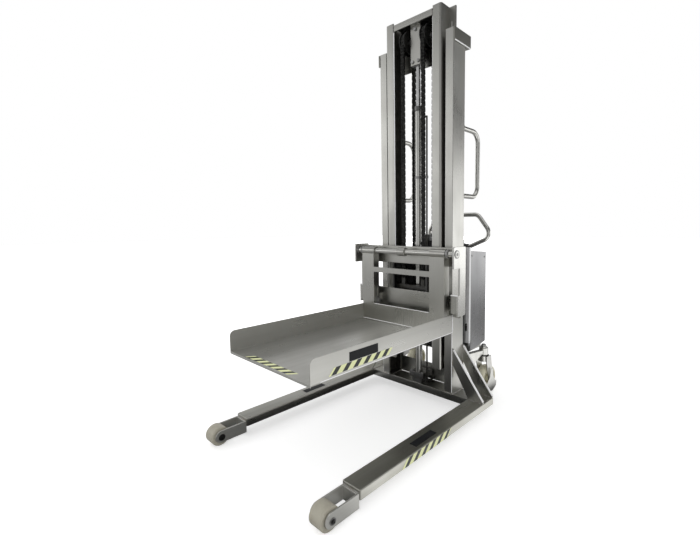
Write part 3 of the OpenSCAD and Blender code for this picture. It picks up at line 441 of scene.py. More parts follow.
def rounded_edges(bm, faces, width, corner=40):
    edges = edges_over({e for f in faces for e in f.edges}, corner)
    if edges and width:
        round_edges(bm, edges, width)


def add_block(bm, low, high, round_by=0.0):
    """Block between two corners."""
    made = bmesh.ops.create_cube(bm, size=1.0)["verts"]
    spread = Matrix.Diagonal((*(high - low), 1))
    shift(bm, made, Matrix.Translation((low + high) / 2) @ spread)
    rounded_edges(bm, {f for v in made for f in v.link_faces}, round_by)


def add_disc(bm, centre, direction, radius, length, sides=32, round_by=0.0, spin=0.0):
    """Cylinder from a centre along a direction. Radii and length in millimetres."""
    made = bmesh.ops.create_cone(bm, cap_ends=True, cap_tris=False, segments=sides, radius1=mm(radius),
                                 radius2=mm(radius), depth=mm(length))["verts"]
    lift = Matrix.Translation((0, 0, mm(length / 2)))
    shift(bm, made, Matrix.Translation(centre) @ turned_to(direction, spin) @ lift)
    rounded_edges(bm, {f for v in made for f in v.link_faces}, round_by, 45)


def pour(bm, piece, matrix):
    """Adds a small mesh, made round the origin, at its place."""
    shift(piece, piece.verts, matrix)
    bmesh.ops.recalc_face_normals(piece, faces=piece.faces)
    passing = mesh_of("passing", piece)
    bm.from_mesh(passing)
    bpy.data.meshes.remove(passing)


def spin_round(piece, steps):
    """Turns the points and edges of a mesh once round the Z axis."""
    bmesh.ops.spin(piece, geom=piece.verts[:] + piece.edges[:], cent=(0, 0, 0), axis=(0, 0, 1), angle=2 * pi,
                   steps=steps, use_merge=True)


def add_lathe(bm, centre, direction, profile, sides=32, round_by=0.0):
    """Closed profile of radius and height, in millimetres, turned once round."""
    piece = bmesh.new()
    points = [piece.verts.new((mm(r), 0, mm(h))) for r, h in profile]
    for before, here in zip(points[-1:] + points, points):
        piece.edges.new((before, here))
    spin_round(piece, sides)
    rounded_edges(piece, piece.faces[:], round_by, 45)
    pour(bm, piece, Matrix.Translation(centre) @ turned_to(direction))


def add_ring(bm, centre, direction, outer, inner, length, sides=32, round_by=0.0):
    """Flat ring, such as a washer or a bearing race."""
    profile = [(inner, 0), (outer, 0), (outer, length), (inner, length)]
    add_lathe(bm, centre, direction, profile, sides, round_by)


def add_round_weld(bm, centre, direction, radius, size):
    """Weld bead in a circle, its ripples made by a few raised steps."""
    piece = bmesh.new()
    steps = 2 * int(2 * pi * radius / 4)
    ring = bmesh.ops.create_circle(piece, segments=8, radius=mm(size))["verts"]
    upright_there = Matrix.Translation((mm(radius), 0, 0)) @ Matrix.Rotation(pi / 2, 4, "X")
    shift(piece, ring, upright_there)
    spin_round(piece, steps)
    for v in piece.verts:
        if round(atan2(v.co.y, v.co.x) / (2 * pi / steps)) % 2:
            v.co.z *= 0.8
    pour(bm, piece, Matrix.Translation(centre) @ turned_to(direction))


def add_hex_bolt(bm, centre, direction, size, spin=0.0):
    """Hexagon head on a washer, standing on a face. Size is the thread diameter."""
    washer = size * 0.16
    add_disc(bm, centre, direction, size * 1.05, washer, 28, 0.3)
    add_disc(bm, centre + direction * mm(washer), direction, size * 0.94, size * 0.62, 6, size * 0.06, spin)


def add_socket_screw(bm, centre, direction, size):
    """Cylinder head with a hexagon recess."""
    piece = bmesh.new()
    add_disc(piece, Vector(), Z, size * 0.8, size * 0.7, 24)
    top = max(piece.faces, key=lambda f: f.calc_center_median().z)
    bmesh.ops.inset_individual(piece, faces=[top], thickness=mm(size * 0.3))
    for v in top.verts:
        angle = atan2(v.co.y, v.co.x)
        reach = mm(size * 0.42) / cos(angle % (pi / 3) - pi / 6)
        v.co.x, v.co.y = reach * cos(angle), reach * sin(angle)
    deep = bmesh.ops.extrude_discrete_faces(piece, faces=[top])["faces"]
    bmesh.ops.translate(piece, verts=deep[0].verts, vec=(0, 0, -mm(size * 0.45)))
    pour(bm, piece, Matrix.Translation(centre) @ turned_to(direction))


def new_verts(made):
    return [v for v in made if isinstance(v, bmesh.types.BMVert)]


def next_ring(bm, edges):
    """Extrudes a ring of edges in place, and gives the new points and the new ring."""
    made = bmesh.ops.extrude_edge_only(bm, edges=edges)["geom"]
    verts = new_verts(made)
    return verts, [e for e in made if isinstance(e, bmesh.types.BMEdge) and all(v in verts for v in e.verts)]


def close_ends(bm):
    bmesh.ops.holes_fill(bm, edges=[e for e in bm.edges if e.is_boundary], sides=0)


def raise_faces(bm, faces, by):
    """Extrudes faces along a vector, so that a flat shape becomes a plate."""
    made = bmesh.ops.extrude_face_region(bm, geom=faces)["geom"]
    bmesh.ops.translate(bm, verts=new_verts(made), vec=by)


def add_highlight_bar(bm, start, end, radius):
    """Painted highlight along a corner, as a thin near-white bar that is let into it."""
    run = end - start
    add_disc(bm, start, run.normalized(), radius, run.length * 1000, 12, radius * 0.4)


def add_weld(bm, start, end, size=2.2):
    """Weld bead with ripples, from one point to another."""
    run = end - start
    steps = max(6, int(run.length / mm(RIPPLE)))
    piece = bmesh.new()
    bmesh.ops.create_circle(piece, segments=8, radius=mm(size))
    edges = piece.edges[:]
    for k in range(steps):
        verts, edges = next_ring(piece, edges)
        swell = 0.5 if k == steps - 1 else 1 / SWELL if k % 2 else SWELL
        height = run.length * k / steps
        grow = (Matrix.Translation((0, 0, height + run.length / steps)) @ Matrix.Scale(swell, 4)
                @ Matrix.Translation((0, 0, -height)))
        shift(piece, verts, grow)
    close_ends(piece)
    pour(bm, piece, Matrix.Translation(start) @ turned_to(run.normalized()))


def add_tube(bm, corners, radius, bend):
    """Round tube along straight runs, bent to a radius at each inner corner."""
    steps, sides = 7, 20
    path, ways = [corners[0]], [(corners[1] - corners[0]).normalized()]
    for before, here, after in zip(corners, corners[1:], corners[2:]):
        coming, going = (here - before).normalized(), (after - here).normalized()
        inward = (going - coming * coming.dot(going)).normalized()
        turned = coming.angle(going)
        start = here - coming * mm(bend) * tan(turned / 2)
        for k in range(steps + 1):
            a = turned * k / steps
            path.append(start + (coming * sin(a) + inward * (1 - cos(a))) * mm(bend))
            ways.append(coming * cos(a) + inward * sin(a))
    path.append(corners[-1])
    ways.append((corners[-1] - corners[-2]).normalized())
    piece = bmesh.new()
    bmesh.ops.create_circle(piece, segments=sides, radius=mm(radius))
    shift(piece, piece.verts, Matrix.Translation(path[0]) @ turned_to(ways[0]))
    edges = piece.edges[:]
    for k in range(1, len(path)):
        verts, edges = next_ring(piece, edges)
        swing = ways[k - 1].rotation_difference(ways[k]).to_matrix().to_4x4()
        shift(piece, verts, Matrix.Translation(path[k]) @ swing @ Matrix.Translation(-path[k - 1]))
    close_ends(piece)
    pour(bm, piece, Matrix.Identity(4))


def stamp(bm, mesh, matrix):
    """Adds a copy of a small mesh at a place."""
    before = len(bm.verts)
    bm.from_mesh(mesh)
    bm.verts.ensure_lookup_table()
    shift(bm, bm.verts[before:], matrix)


def small_mesh(name, bm):
    bmesh.ops.recalc_face_normals(bm, faces=bm.faces)
    return mesh_of(name, bm)


# Camera, light and floor

PHOTO_W, PHOTO_H = 700, 535
FOCAL_PIXELS = 391.21
CENTRE_X, CENTRE_Y = 398.335, 263.699
CAMERA_PLACE = (1380.99, -1723.03, 997.12)
turn, pitch, roll = radians(41.127), radians(5.514), -0.0074

look = Vector((-sin(turn) * cos(pitch), cos(turn) * cos(pitch), -sin(pitch)))
level = Vector((cos(turn), sin(turn), 0))
above = level.cross(look)
right = level * cos(roll) + above * sin(roll)
upright = above * cos(roll) - level * sin(roll)

camera_data = bpy.data.cameras.new("camera")
camera = placed("camera", camera_data)
camera_data.sensor_width = 36
camera_data.lens = FOCAL_PIXELS * camera_data.sensor_width / PHOTO_W
camera_data.shift_x = (PHOTO_W / 2 - CENTRE_X) / PHOTO_W
camera_data.shift_y = (CENTRE_Y - PHOTO_H / 2) / PHOTO_W
camera_data.clip_start, camera_data.clip_end = 0.05, 100
camera_data.dof.use_dof = False
camera.matrix_world = Matrix.Translation(at(*CAMERA_PLACE)) @ axes(right, upright, -look)
bpy.context.scene.camera = camera
bpy.context.scene.view_settings.view_transform = "Standard"


def lamp(name, place, target, width, height, watts):
    data = bpy.data.lights.new(name, "AREA")
    data.shape, data.size, data.size_y, data.energy = "RECTANGLE", width, height, watts
    made = placed(name, data)
    made.location = place
    made.rotation_euler = (Vector(target) - Vector(place)).to_track_quat("-Z", "Y").to_euler()
    made.visible_glossy = False


lamp("front_lamp", (2.2, -3.8, 2.8), (0, 0, 0.9), 2.4, 1.8, 36)
lamp("left_lamp", (-3.6, -1.2, 3.0), (0, 0, 0.7), 2.4, 2.0, 24)

# What the metal mirrors: a broad box at the front left, a pale wall at the left, a bright low wall at the
# right back, a fill beside the camera and a ceiling. Directions are level unit vectors.
BOX, WALL, NEAR = (-0.80, -0.60), (0.54, 0.84), (0.60, -0.80)

world = bpy.data.worlds.new("studio")
bpy.context.scene.world = world
world.use_nodes = True
world.node_tree.nodes.clear()
sky = Tree(world.node_tree)
dx, dy, dz = sky.apart(sky.node("ShaderNodeTexCoord", out="Generated"))
box = (sky.between(dx * BOX[0] + dy * BOX[1], 0.3, 0.85, 0.0, 0.34, "SMOOTHSTEP")
       * sky.between(dz, 0.2, 0.5, 1.0, 0.55))
pale = sky.between(0.0 - dx, 0.2, 0.8, 0.0, 0.9, "SMOOTHSTEP") * sky.between(dz, 0.30, 0.50, 1.0, 0.0)
band = (sky.between(dz, 0.03, 0.26, 1.0, 0.0, "SMOOTHSTEP")
        + sky.between(dz, 0.31, 0.36) * sky.between(dz, 0.378, 0.40, 0.45, 0.0))
wall = sky.between(dx * WALL[0] + dy * WALL[1], 0.3, 0.95, 0.1, 1.6, "SMOOTHSTEP") * band
near = sky.between(dx * NEAR[0] + dy * NEAR[1], 0.78, 0.98, 0.0, 0.55, "SMOOTHSTEP")
ceiling = sky.between(dz, 0.62, 0.85, 0.0, 0.9, "SMOOTHSTEP")
around = box + pale + wall + near + ceiling + 0.06
mirrored = sky.node("ShaderNodeBackground", None, {"Color": around, "Strength": 1.0})
plain = sky.node("ShaderNodeBackground", None, {"Color": grey(0.75), "Strength": 1.0})
white = sky.node("ShaderNodeBackground", None, {"Color": grey(1.0), "Strength": 1.0})
lit = sky.mixed(sky.rays("Is Glossy Ray"), plain, mirrored)
seen = sky.mixed(sky.rays("Is Camera Ray", "Is Transmission Ray"), lit, white)
sky.node("ShaderNodeOutputWorld", None, {0: seen})

floor_bm = bmesh.new()
bmesh.ops.create_grid(floor_bm, x_segments=1, y_segments=1, size=30)
floor = placed("floor", mesh_of("floor", floor_bm))
# The camera sees the floor turn white with distance. The metal mirrors a glowing grey floor with painted
# light on it: a painted shadow under the stacker, a painted bright strip close by at the right and a painted
# bright far part at the right back.
ground = Graph("pale_floor", Base_Color=grey(0.8), Roughness=0.9, Emission_Strength=1.0)
gx, gy = ground.apart(ground.place)[:2]
reach = (gx * gx + gy * gy).alone("SQRT")
ground.feed("Emission Color", ground.rays("Is Camera Ray", "Is Transmission Ray")
            * ground.between(reach, 0.9, 3.0, 0.5, 1.0, "SMOOTHSTEP"))
# Painted shadow under the stacker and painted light patches, seen only in the metal's reflections.
painted_shadow_under = (ground.between(gx.alone("ABSOLUTE"), 0.36, 0.42, 1.0, 0.0)
         * ground.between(gy.alone("ABSOLUTE"), 0.7, 0.95, 1.0, 0.0))
painted_light_near = (ground.between(reach, 1.75, 2.15, 1.05, 0.0, "SMOOTHSTEP") * ground.between(gx, 0.2, 0.45)
            * ground.between(gy, -0.62, -0.45, 0.1, 0.8) * ground.between(gy - gx * 0.8, 0.45, 1.0, 1.0, 0.1))
painted_light_far = ground.between(gx * WALL[0] + gy * WALL[1], 2.8, 8.0, 0.0, 1.2, "SMOOTHSTEP")
painted_floor_light = (painted_light_near + painted_light_far + 0.37) * (1.0 - painted_shadow_under * 0.95)
glow = ground.node("ShaderNodeEmission", None, {"Color": painted_floor_light, "Strength": 1.0})
surface = ground.mixed(ground.rays("Is Glossy Ray"), Sock(ground, ground.shader.outputs[0]), glow)
ground.tree.links.new(surface.socket, ground.tree.nodes["Material Output"].inputs["Surface"])
floor.data.materials.append(ground.material)

# CAD nodes with their finish

ROUNDED = (
    (5, leg_steel, "leg_left leg_right"), (5, steel_along["x"], "cross_member"),
    (2, bracket_steel, "roller_brackets"), (1.5, steel_along["z"], "gussets"),
    (1.2, outer_rail_steel, "outer_rail_left outer_rail_right"), (1.5, painted_shade_tie_steel, "top_tie"),
    (1.5, steel_along["x"], "mast_ties"), (1.5, turned_steel, "cylinder_foot"),
    (1.2, steel_along["y"], "rear_frame"), (2.5, painted_light_sheet, "castor_arms"), (4, tank_black, "oil_tank"),
    (2.5, pump_black, "pump_unit"), (5, battery_case, "battery"), (0.8, cover_steel, "cover"),
    (4, console_black, "console"), (1.2, inner_rail_steel, "inner_rail_left inner_rail_right"),
    (1.5, steel_along["x"], "inner_crossbar inner_tie"), (1, steel_along["z"], "centre_plate"),
    (2, turned_steel, "rod_head"), (1.5, steel_along["x"], "carriage_upper_plate carriage_lower_plate"),
    # The carriage arms take the dark steel as painted shade inside the carriage.
    (1.5, painted_light_sheet, "carriage_sides"), (1.2, dark_steel, "carriage_arms"),
    (1, dark_steel, "chain_anchors"), (0.9, tray_steel, "tray_pan"), (1.8, steel_along["z"], "tray_frame"),
    (1.2, painted_light_sheet, "castor_fork_left castor_fork_right"),
)
PLAIN = (
    (turned_steel, "roller_axles cylinder_gland pulley_axle mast_roller_left mast_roller_right key_switch "
                   "carriage_roller_a carriage_roller_b carriage_roller_c carriage_roller_d"),
    (chain_black, "pulley_left pulley_right rear_chains front_chains chain_wraps"),
    (nylon, "front_roller_left front_roller_right"), (tyre_cream, "castor_wheel_left castor_wheel_right"),
    (painted_light_tube, "cylinder_tube"), (dark_steel, "hydraulic_pipe"), (zinc, "plate_bolts"),
    (chrome, "piston_rod"), (shaft_steel, "tray_shaft"), (console_black, "lift_lever"),
    (button_red, "stop_button"),
)
for radius, finish, nodes in ROUNDED:
    for node in nodes.split():
        soften(node, radius, finish)
for finish, nodes in PLAIN:
    for node in nodes.split():
        mesh = frame["nodes"][node].data
        mesh.materials.clear()
        mesh.materials.append(finish)

# Leaf chains

PITCH = 15.875
PULLEY_R = 48.0         # from the pulley's axle to the middle of the chain
AXLE_Y, AXLE_Z = 37, 2000
PLATES = 8
PLATE_T = 2.7
PLATE_GAP = 0.5
CHAIN_X = 70.0
LINK_R = 6.9
PIN_R, PIN_LENGTH = 2.7, 26.4
WRAP_LINKS = 9
WRAP_DROP = 74          # the links this far below the axle stay whole beside the flanges

link_bm = bmesh.new()
rim = bmesh.ops.create_circle(link_bm, segments=12, radius=mm(LINK_R), cap_ends=True)["verts"]
bmesh.ops.translate(link_bm, verts=[v for v in rim if v.co.y > 0], vec=(0, mm(PITCH), 0))
raise_faces(link_bm, link_bm.faces[:], (0, 0, mm(PLATE_T - PLATE_GAP)))
shift(link_bm, link_bm.verts, axes(Y, Z, X))
link_plate = small_mesh("link_plate", link_bm)
pin_bm = bmesh.new()
add_disc(pin_bm, Vector((-mm(PIN_LENGTH / 2), 0, 0)), X, PIN_R, PIN_LENGTH, 8, 0.5)
link_pin = small_mesh("link_pin", pin_bm)


def add_link(bm, x, start, end, odd):
    """One pitch of leaf chain between two pins, with every other plate, and the pin at its start."""
    run = end - start
    lean = Matrix.Rotation(atan2(-run.y, run.z), 4, "X")
    stretch = Matrix.Diagonal((1, 1, run.length / mm(PITCH), 1))
    for k in range(odd, PLATES, 2):
        offset = Vector((mm(x + (k - PLATES / 2) * PLATE_T + PLATE_GAP / 2), 0, 0))
        stamp(bm, link_plate, Matrix.Translation(start + offset) @ lean @ stretch)
    stamp(bm, link_pin, Matrix.Translation(start + Vector((mm(x), 0, 0))))


def chain_run(name, y, low, node):
    """The straight run of both chains from this height up to the pulleys' axle."""
    bm = bmesh.new()
    links = round((AXLE_Z - low) / PITCH)
    step = (AXLE_Z - low) / links
    for x in (-CHAIN_X, CHAIN_X):
        for k in range(links):
            add_link(bm, x, at(0, y, low + k * step), at(0, y, low + (k + 1) * step), k % 2)
    piece = finished(name, bm, chain_black, smooth=False)
    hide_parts(node)
    at(0, y, low + 12)
    at(0, y, AXLE_Z - WRAP_DROP)
    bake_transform(piece)


def on_wrap(k):
    """The place of pin number k on its way round a pulley."""
    a = pi * k / WRAP_LINKS
    return at(0, AXLE_Y - PULLEY_R * cos(a), AXLE_Z + PULLEY_R * sin(a))


chain_run("front_chain_links", AXLE_Y - PULLEY_R, 700, "front_chains")
chain_run("rear_chain_links", AXLE_Y + PULLEY_R, 590, "rear_chains")

wrap_bm = bmesh.new()
for x in (-CHAIN_X, CHAIN_X):
    for k in range(WRAP_LINKS):
        add_link(wrap_bm, x, on_wrap(k), on_wrap(k + 1), k % 2)
finished("chain_wrap_links", wrap_bm, chain_black, "inner_mast", ("chain_wraps",), smooth=False)

# Tapes and plates

TAPE = 0.4
SLANT = 0.93            # how far a bar leans for each step up
LEG_SIDE, LEG_TOP = 440, 85
TRAY_SIDE, TRAY_FLOOR = 292, 450


def tape(name, body, finish, origin, along, across, out, length, width, lean):
    """Tape with slanting ends on a face."""
    bm = bmesh.new()
    made = bmesh.ops.create_cube(bm, size=1.0)["verts"]
    bmesh.ops.translate(bm, verts=made, vec=(0.5, 0.5, 0.5))
    slanting = axes(along * mm(length), across * mm(width) + along * mm(lean), out * mm(TAPE))
    shift(bm, made, Matrix.Translation(origin) @ slanting)
    bmesh.ops.recalc_face_normals(bm, faces=bm.faces)
    finished(name, bm, finish, body, smooth=False)


def bars(name, pitch, start, axis, up):
    """The tape's finish, with a bar that starts at this place."""
    return hazard_tape(name, pitch, SLANT, axis, up, start[axis] - SLANT * start[up])


side_tape = bars("hazard_side", 0.0533, at(0, -617, 48), 1, 2)
tray_tape = bars("hazard_tray", 0.0533, at(0, -852, 457), 1, 2)
front_tape = bars("hazard_front", 0.052, at(-160, -935, 0), 0, 1)
SIDES = (("left", -1), ("right", 1))
for side_name, s in SIDES:
    tape("leg_tape_" + side_name, "chassis", side_tape, at(s * LEG_SIDE, -632, 48), Y, Z, X * s, 314, 33, 31)
    tape("tray_tape_" + side_name, "tray", tray_tape, at(s * TRAY_SIDE, -862, 457), Y, Z, X * s, 320, 27, 25)
tape("floor_tape", "tray", front_tape, at(-172, -935, TRAY_FLOOR), X, Y, Z, 312, 30, 28)


BARE_T = 0.8


def bare_plate(name, body, low, high, out):
    bm = bmesh.new()
    add_block(bm, low, high + out * mm(BARE_T), 0.35)
    finished(name, bm, plate_black, body)


bare_plate("leg_plate_right", "chassis", at(383, -517, LEG_TOP), at(419, -371, LEG_TOP), Z)
bare_plate("leg_plate_left", "chassis", at(-412, -492, LEG_TOP), at(-374, -358, LEG_TOP), Z)
for side_name, x in (("right", TRAY_SIDE), ("left", -TRAY_SIDE - BARE_T)):
    bare_plate("tray_plate_" + side_name, "tray", at(x, -762, 486), at(x, -606, 523), X)

# Welds

weld_bm = bmesh.new()
RAIL_FOOT, RAIL_FRONT, RAIL_SIDE = 86, -0.5, 252.5
GUSSET_FACES = (3.5, 12.5, 103.5, 112.5)
HANDLE_X, HANDLE_Y, HANDLE_LOW, HANDLE_TOP = 231.5, 284, 1157, 1514
for s in (-1, 1):
    add_weld(weld_bm, at(s * 204, RAIL_FRONT, 90.4), at(s * 251, RAIL_FRONT, 90.4), 2.4)
    add_weld(weld_bm, at(s * 196, 7.6, 85.6), at(s * 196, 109, 85.6), 2.0)
    add_weld(weld_bm, at(s * RAIL_SIDE, 0, RAIL_FOOT), at(s * RAIL_SIDE, 111, RAIL_FOOT), 2.8)
    for y in GUSSET_FACES:
        add_weld(weld_bm, at(s * 356, y, RAIL_FOOT), at(s * 436, y, RAIL_FOOT))
        add_weld(weld_bm, at(s * RAIL_SIDE, y, 180), at(s * RAIL_SIDE, y, 336))
    for z in (73.5, 47):
        add_weld(weld_bm, at(s * 352, -855.5, z), at(s * 433, -855.5, z))
    add_weld(weld_bm, at(s * 345.5, 10, 85.8), at(s * 345.5, 106, 85.8), 2.4)
    add_weld(weld_bm, at(s * 345, 7.6, 46), at(s * 345, 7.6, 84), 2.4)
    for x in (s * 203, s * 249):
        add_weld(weld_bm, at(x, 118, 240), at(x, 118, 262), 2.4)
    for z in (HANDLE_LOW, HANDLE_TOP):
        add_round_weld(weld_bm, at(s * HANDLE_X, 111.6, z), Y, 20.2, 1.8)
        add_round_weld(weld_bm, at(s * HANDLE_X, 116.2, z), Y, 13.3, 1.6)
    add_weld(weld_bm, at(s * 252.6, 113, 1915), at(s * 252.6, 113, 1977), 2.0)
    add_weld(weld_bm, at(s * 252, 119.3, 552), at(s * 252, 119.3, 598), 1.8)
finished("base_welds", weld_bm, weld, "chassis")

weld_bm = bmesh.new()
GUARD_WEB_FACES = (148.6, 157.4)
for s in (-1, 1):
    add_weld(weld_bm, at(s * 132.6, -17.6, 2062), at(s * 132.6, -17.6, 2098), 2.0)
    add_weld(weld_bm, at(s * 182.6, 65.6, 405), at(s * 182.6, 65.6, 501), 2.0)
    for x in GUARD_WEB_FACES:
        add_weld(weld_bm, at(s * x, 65.4, 1880), at(s * x, 65.4, 2095), 1.8)
finished("inner_mast_welds", weld_bm, weld, "inner_mast")

weld_bm = bmesh.new()
ARM_FACES = (111.4, 124.2)
LOWER_PLATE, UPPER_PLATE = (556, 640), (792, 882)
for s in (-1, 1):
    for bottom, top in (LOWER_PLATE, UPPER_PLATE):
        add_weld(weld_bm, at(s * 340, -60.4, bottom), at(s * 340, -60.4, top), 1.8)
    for x in ARM_FACES:
        for bottom, top in (LOWER_PLATE, UPPER_PLATE):
            add_weld(weld_bm, at(s * x, -49.6, bottom), at(s * x, -49.6, top), 1.8)
finished("carriage_welds", weld_bm, weld, "carriage")

weld_bm = bmesh.new()
for s in (-1, 1):
    for z in (768, 734):
        add_weld(weld_bm, at(s * 198.4, -131.2, z - 2), at(s * 198.4, -131.2, z), 1.2)
finished("tray_welds", weld_bm, weld, "tray")

# Painted highlights: near-white bars along corners, in place of the light on bright edges

edge_bm = bmesh.new()
add_highlight_bar(edge_bm, at(-288, -131.6, 457), at(288, -131.6, 457), 1.9)
add_highlight_bar(edge_bm, at(-194, -130.8, 552), at(194, -130.8, 552), 1.7)
for s in (-1, 1):
    x = s * (TRAY_SIDE - 0.8)
    add_highlight_bar(edge_bm, at(x, -900, TRAY_FLOOR - 1.8), at(x, -56, TRAY_FLOOR - 1.8), 2.2)
    add_highlight_bar(edge_bm, at(x, -54.6, TRAY_FLOOR - 1), at(x, -54.6, 540), 2.2)
finished("tray_painted_highlights", edge_bm, painted_highlight_edge, "tray")

edge_bm = bmesh.new()
for s in (-1, 1):
    for y in (8.2, 108.2):
        add_highlight_bar(edge_bm, at(s * 257, y, 334), at(s * 438, y, 95), 5.2)
    add_highlight_bar(edge_bm, at(s * 250.6, 1.4, 96), at(s * 250.6, 1.4, 545), 2.0)
    add_highlight_bar(edge_bm, at(s * 259.5, -1, 1917), at(s * 259.5, 146, 1917), 3.2)
finished("gusset_painted_highlights", edge_bm, painted_highlight_edge, "chassis")

# Bolts, nuts and pipe fittings

bolt_bm, screw_bm = bmesh.new(), bmesh.new()
LOAD_AXLE = (-974, 42)
for s in (-1, 1):
    outward = X * s
    add_ring(screw_bm, at(s * 438, *LOAD_AXLE), outward, 9, 4, 1.4, 24, 0.3)
    add_socket_screw(screw_bm, at(s * 438, *LOAD_AXLE), outward, 7)
    add_ring(screw_bm, at(s * 349.5, *LOAD_AXLE), -outward, 15, 5, 1.6, 28, 0.4)
    add_socket_screw(screw_bm, at(s * 349.2, *LOAD_AXLE), -outward, 7)
    for y in (150, 430):
        add_hex_bolt(bolt_bm, at(s * 177, y, 281), Z, 6, spin=0.2 * y)
    add_disc(bolt_bm, at(s * CHAIN_X, 85, 530), Z, 7, 32, 20, 0.6)
    for z in (538.5, 549.5):
        add_disc(bolt_bm, at(s * CHAIN_X, 85, z), Z, 12, 10, 6, 0.9, spin=0.1 * z)
    for y in (17, 88):
        add_hex_bolt(bolt_bm, at(s * 38, y, 147), Z, 8, spin=s + y)
finished("chassis_bolts", bolt_bm, zinc, "chassis")
finished("axle_screws", screw_bm, dark_steel, "chassis")

pipe_bm = bmesh.new()
PIPE_X, TUBE_Y, CLIPS_Z, PORT_Z = 58, 37, (420, 1265), 1590
for z in CLIPS_Z:
    add_ring(pipe_bm, at(0, TUBE_Y, z - 7), Z, 22.5, 20.05, 14, 40, 0.4)
    add_block(pipe_bm, at(21, TUBE_Y - 2.5, z - 7), at(PIPE_X - 6, TUBE_Y + 2.5, z + 7), 0.6)
    add_ring(pipe_bm, at(PIPE_X, TUBE_Y, z - 7), Z, 8.5, 5.1, 14, 24, 0.5)
add_disc(pipe_bm, at(19, TUBE_Y, PORT_Z), X, 11, 15, 6, 1.0)
add_disc(pipe_bm, at(34, TUBE_Y, PORT_Z), X, 9, 9, 6, 0.8)
add_disc(pipe_bm, at(PIPE_X, 128, 656), Y, 9.5, 7, 6, 0.8)
finished("pipe_fittings", pipe_bm, zinc, "chassis")

# Power unit

power_bm = bmesh.new()
MOTOR_X, MOTOR_Y, MOTOR_R, FINS = -94, 197, 56, 30
FIN_DEPTH, FIN_T, FIN_H, FIN_Z = 7, 2.2, 170, 822
for k in range(FINS):
    a = 2 * pi * k / FINS
    out = Vector((cos(a), sin(a), 0))
    made = bmesh.ops.create_cube(power_bm, size=1.0)["verts"]
    fin = axes(out * mm(FIN_DEPTH), Z.cross(out) * mm(FIN_T), Z * mm(FIN_H))
    middle = at(MOTOR_X, MOTOR_Y, FIN_Z) + out * mm(MOTOR_R + 1)
    shift(power_bm, made, Matrix.Translation(middle) @ fin)
add_disc(power_bm, at(MOTOR_X, MOTOR_Y, 930), Z, MOTOR_R + 2, 12, 40, 2)
add_block(power_bm, at(-40, 165, 740), at(0, 228, 812), 4)
finished("motor_shell", power_bm, pump_black, "chassis")

fitting_bm = bmesh.new()
TANK_LID = 691
for z, *cap in ((TANK_LID, 9, 8, 28, 1), (TANK_LID + 8, 12, 10, 28, 2)):
    add_disc(fitting_bm, at(-17, 150, z), Z, *cap)
for z in (716, 760, 800):
    add_disc(fitting_bm, at(27, 161, z), -Y, 8, 9, 6, 0.8)
    add_disc(fitting_bm, at(27, 152, z), -Y, 5, 6, 16, 1)
for x in (-143, 54):
    for y in (142, 239):
        add_hex_bolt(fitting_bm, at(x, y, TANK_LID), Z, 6, spin=x + y)
finished("valve_fittings", fitting_bm, zinc, "chassis")

coil_bm = bmesh.new()
add_disc(coil_bm, at(27, 192, 920), Z, 19, 34, 28, 3)
add_disc(coil_bm, at(27, 192, 966), Z, 8, 12, 6, 1)
finished("valve_coil", coil_bm, rubber, "chassis")

gauge_bm = bmesh.new()
add_block(gauge_bm, at(69.5, 170, 330), at(73.5, 196, 450), 1.2)
finished("tank_gauge", gauge_bm, glass_window, "chassis")
gauge_bm = bmesh.new()
for z in (323, 451):
    add_disc(gauge_bm, at(70, 183, z + 3), X, 10, 8, 6, 0.8)
finished("tank_gauge_nuts", gauge_bm, zinc, "chassis")

terminal_bm, caps_bm = bmesh.new(), bmesh.new()
BATTERIES_X, BATTERY_TOP = (-86, 86), 511
for x in BATTERIES_X:
    for pole in (x - 55, x + 55):
        add_disc(terminal_bm, at(pole, 300, 527), Z, 6, 5, 16, 1)
        add_disc(terminal_bm, at(pole, 300, 531.8), Z, 9, 7, 6, 0.8)
    for cap in (x - 45, x, x + 45):
        add_disc(caps_bm, at(cap, 370, BATTERY_TOP), Z, 11, 4, 20, 1)
    add_block(caps_bm, at(x - 60, 405, BATTERY_TOP), at(x + 60, 425, BATTERY_TOP + 6), 2)
finished("battery_terminals", terminal_bm, brass, "chassis")
finished("battery_caps", caps_bm, rubber, "chassis")

# Cover and console

cover_bm = bmesh.new()
for s in (-1, 1):
    for y, z in ((290, 300), (440, 315), (290, 820), (440, 805)):
        add_disc(cover_bm, at(s * 200, y, z), X * s, 6, 1.2, 20, 0.3)
        add_disc(cover_bm, at(s * 201.2, y, z), X * s, 4, 2.0, 20, 1.0)
finished("cover_screws", cover_bm, zinc, "chassis")
latch_bm = bmesh.new()
for x in (-184, 184):
    add_block(latch_bm, at(x - 6, 252.5, 372), at(x + 6, 259.3, 406), 1.5)
    add_disc(latch_bm, at(x, 259.3, 412), -Y, 6, 6, 16, 1)
finished("cover_latches", latch_bm, rubber, "chassis")

flange_bm, edge_bm = bmesh.new(), bmesh.new()
for s in (-1, 1):
    add_block(flange_bm, at(s * 164 - 35, 259, 298), at(s * 164 + 35, 261.6, 870), 0.6)
    # The strips along the cover's front edges are painted highlight.
    left, right = sorted((s * 179, s * 202))
    add_block(edge_bm, at(left, 257, 299), at(right, 275, 869), 1.5)
finished("cover_front_flanges", flange_bm, matt_sheet, "chassis")
finished("cover_painted_highlights", edge_bm, painted_highlight_edge, "chassis")

# Two dark shields behind the mast, with the oil pipe between them
panel_bm = bmesh.new()
for left, right in ((-250, PIPE_X - 6.5), (PIPE_X + 6.5, 250)):
    add_block(panel_bm, at(left, 119.3, 296), at(right, 121.3, 872), 0.6)
finished("mast_back_shields", panel_bm, console_black, "chassis")

